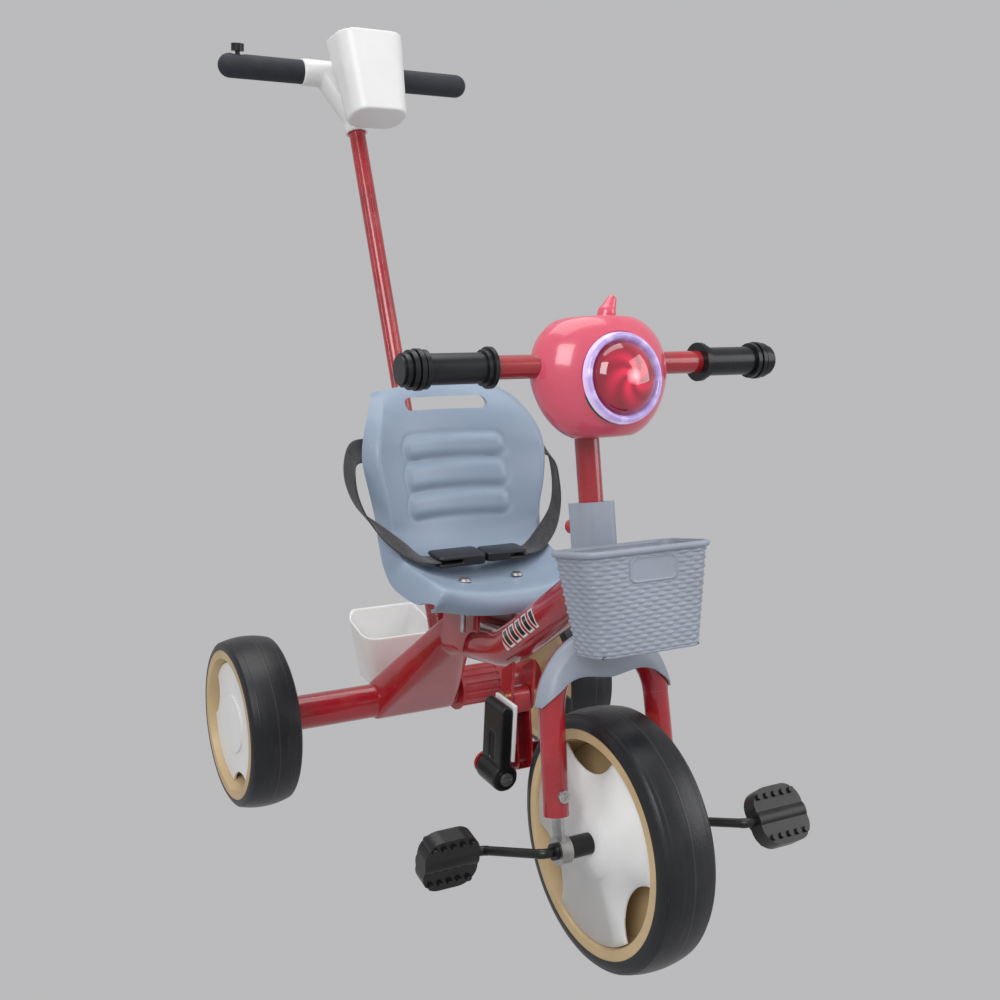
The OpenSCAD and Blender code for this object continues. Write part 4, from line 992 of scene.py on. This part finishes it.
dome_glass = pressed_grid("lamp_lit_dome", 96, 24, turned_on_column(DOME_PROFILE, (0, LENS_Y, LENS_Z), True),
                          closed=True)
recast("lamp_leaf", "lamp_stalk", pink_gloss, voxel=0.8, relax=12)
for piece in (ring_glass, dome_glass):
    harden(piece, rounds=0)
print("lamp faces:", len(lamp.data.polygons))

# %% [markdown]
# The lamp has two lit parts. The clear ring glows violet with a bright spot at each diode, and the
# dome in its middle is red, brightest at its centre. Both are bodies of coloured plastic with light
# behind, so their colour goes to the emission as well as to the surface. The five-armed swirl on the
# dome is a painted reflection of the star-shaped reflector inside it, in colour and emission alike.

# %% Lit ring and dome
LENS = on_column(0, LENS_Y, LENS_Z)
LENS_AXIS = (on_column(0, -1, 0) - on_column(0, 0, 0)).normalized()
LENS_SIDE = Vector((1, 0, 0))
LENS_UP = LENS_SIDE.cross(LENS_AXIS)
DIODES = 12


def lens_polar(tree):
    place = tree.nodes.new("ShaderNodeTexCoord").outputs["Object"]
    x = directed(tree, place, LENS, LENS_SIDE)
    z = directed(tree, place, LENS, LENS_UP)
    radius = math_node(tree, "SQRT", math_node(tree, "ADD", math_node(tree, "MULTIPLY", x, x),
                                               math_node(tree, "MULTIPLY", z, z)))
    angle = math_node(tree, "ARCTAN2", z, x)
    return radius, angle


def ring_finish():
    material = bpy.data.materials.new("lit_ring")
    material.use_nodes = True
    tree = material.node_tree
    shader = tree.nodes["Principled BSDF"]
    radius, angle = lens_polar(tree)
    spots = math_node(tree, "SINE", math_node(tree, "MULTIPLY", angle, DIODES))
    spots = contrast(tree, spots, 0.0, 1.0)
    cloud = contrast(tree, noise_node(tree, 70, 4), 0.35, 0.7)
    mask = math_node(tree, "MULTIPLY", math_node(tree, "MULTIPLY", spots, cloud), 0.7)
    colour = mix_colour(tree, mask, (0.36, 0.27, 0.56), (0.66, 0.58, 0.95))
    edge = contrast(tree, radius, 0.0405, 0.0425)
    colour = mix_colour(tree, math_node(tree, "MULTIPLY", edge, 0.7), colour, (0.78, 0.62, 0.86))
    tree.links.new(colour, shader.inputs["Base Color"])
    tree.links.new(colour, shader.inputs["Emission Color"])
    shader.inputs["Emission Strength"].default_value = 0.42
    shader.inputs["Roughness"].default_value = 0.12
    shader.inputs["Coat Weight"].default_value = 0.6
    return material


def dome_finish():
    material = bpy.data.materials.new("lit_dome")
    material.use_nodes = True
    tree = material.node_tree
    shader = tree.nodes["Principled BSDF"]
    radius, angle = lens_polar(tree)
    glow = contrast(tree, radius, 0.034, 0.004)
    # painted reflection: a five-armed swirl stands in for the mirror image of the star-shaped reflector inside the
    # dome, in colour and emission
    star_reflection = math_node(tree, "SINE", math_node(tree, "ADD", math_node(tree, "MULTIPLY", angle, 5),
                                              math_node(tree, "MULTIPLY", radius, 260)))
    mask = math_node(tree, "MULTIPLY", glow, contrast(tree, star_reflection, -1.6, 1.2), clamp=True)
    core = contrast(tree, radius, 0.0085, 0.002)
    colour = mix_colour(tree, mask, (0.16, 0.004, 0.014), (0.80, 0.020, 0.08))
    colour = mix_colour(tree, core, colour, (1.0, 0.34, 0.38))
    tree.links.new(colour, shader.inputs["Base Color"])
    tree.links.new(colour, shader.inputs["Emission Color"])
    shader.inputs["Emission Strength"].default_value = 0.5
    shader.inputs["Roughness"].default_value = 0.10
    shader.inputs["Coat Weight"].default_value = 1.0
    return material


stand_for(ring_glass, "lamp_ring", ring_finish())
stand_for(dome_glass, "lamp_dome", dome_finish())
print("lamp lit, lens at", [round(v, 3) for v in LENS])

# %% [markdown]
# The wheel covers are plain pressed discs with three bites. The wheel can stop at any angle, so the
# covers are copied and turned a little, which puts the bites where they show beside the fork.

# %% Turn the front wheel's covers
COVER_TURN = math.radians(-35)
covers = copy_of("front_discs", "front_covers")
hub = STEER_FOOT
spin = Matrix.Translation(hub) @ Matrix.Rotation(COVER_TURN, 4, "X") @ Matrix.Translation(-hub)
for vertex in covers.data.vertices:
    vertex.co = spin @ vertex.co
only(covers)
bpy.ops.object.shade_smooth_by_angle(angle=math.radians(40))
stand_for(covers, "front_discs", white_plastic)
print("covers turned by", round(math.degrees(COVER_TURN)), "degrees")

# %% [markdown]
# The tyres are solid foam. The mould leaves a fine raised line round the middle and a faint one at
# each shoulder, and rolling wears streaks round the tread, not across it. The lines are written by
# distance from the tyre's own middle plane, so each tyre's rubber knows where its middle is.

# %% Tyres with mould lines and worn treads
def tyre_finish(name, node):
    material = tyre_foam.copy()
    material.name = name
    tree = material.node_tree
    shader = tree.nodes["Principled BSDF"]
    relief = shader.inputs["Normal"].links[0].from_node
    skin_height = relief.inputs["Height"].links[0].from_socket
    centre = middle(node)
    place = tree.nodes.new("ShaderNodeTexCoord").outputs["Object"]
    off = math_node(tree, "ABSOLUTE", directed(tree, place, centre, Vector((1, 0, 0))))
    seam = contrast(tree, off, 0.0011, 0.0003)
    shoulder = within(tree, off, 0.0195, 0.0203, 0.0003)
    lines = math_node(tree, "ADD", seam, shoulder)
    streak_map = tree.nodes.new("ShaderNodeMapping")
    streak_map.inputs["Location"].default_value = -centre
    streak_map.inputs["Scale"].default_value = (9, 1, 1)
    tree.links.new(place, streak_map.inputs["Vector"])
    streaks = contrast(tree, noise_node(tree, 26, 5, streak_map.outputs["Vector"]), 0.52, 0.74)
    tread = contrast(tree, off, 0.024, 0.012)
    worn = math_node(tree, "MULTIPLY", math_node(tree, "MULTIPLY", streaks, tread), 0.55)
    colour = mix_colour(tree, worn, shader.inputs["Base Color"].links[0].from_socket, (0.030, 0.029, 0.028))
    colour = mix_colour(tree, math_node(tree, "MULTIPLY", seam, 0.5), colour, (0.045, 0.044, 0.043))
    tree.links.new(colour, shader.inputs["Base Color"])
    tree.links.new(math_node(tree, "ADD", skin_height, math_node(tree, "MULTIPLY", lines, 1.5)),
                   relief.inputs["Height"])
    return material


for node in ("front_tyre", "rear_tyre_right", "rear_tyre_left"):
    paint(frame["nodes"][node], tyre_finish("foam_" + node, node))
print("tyres finished")
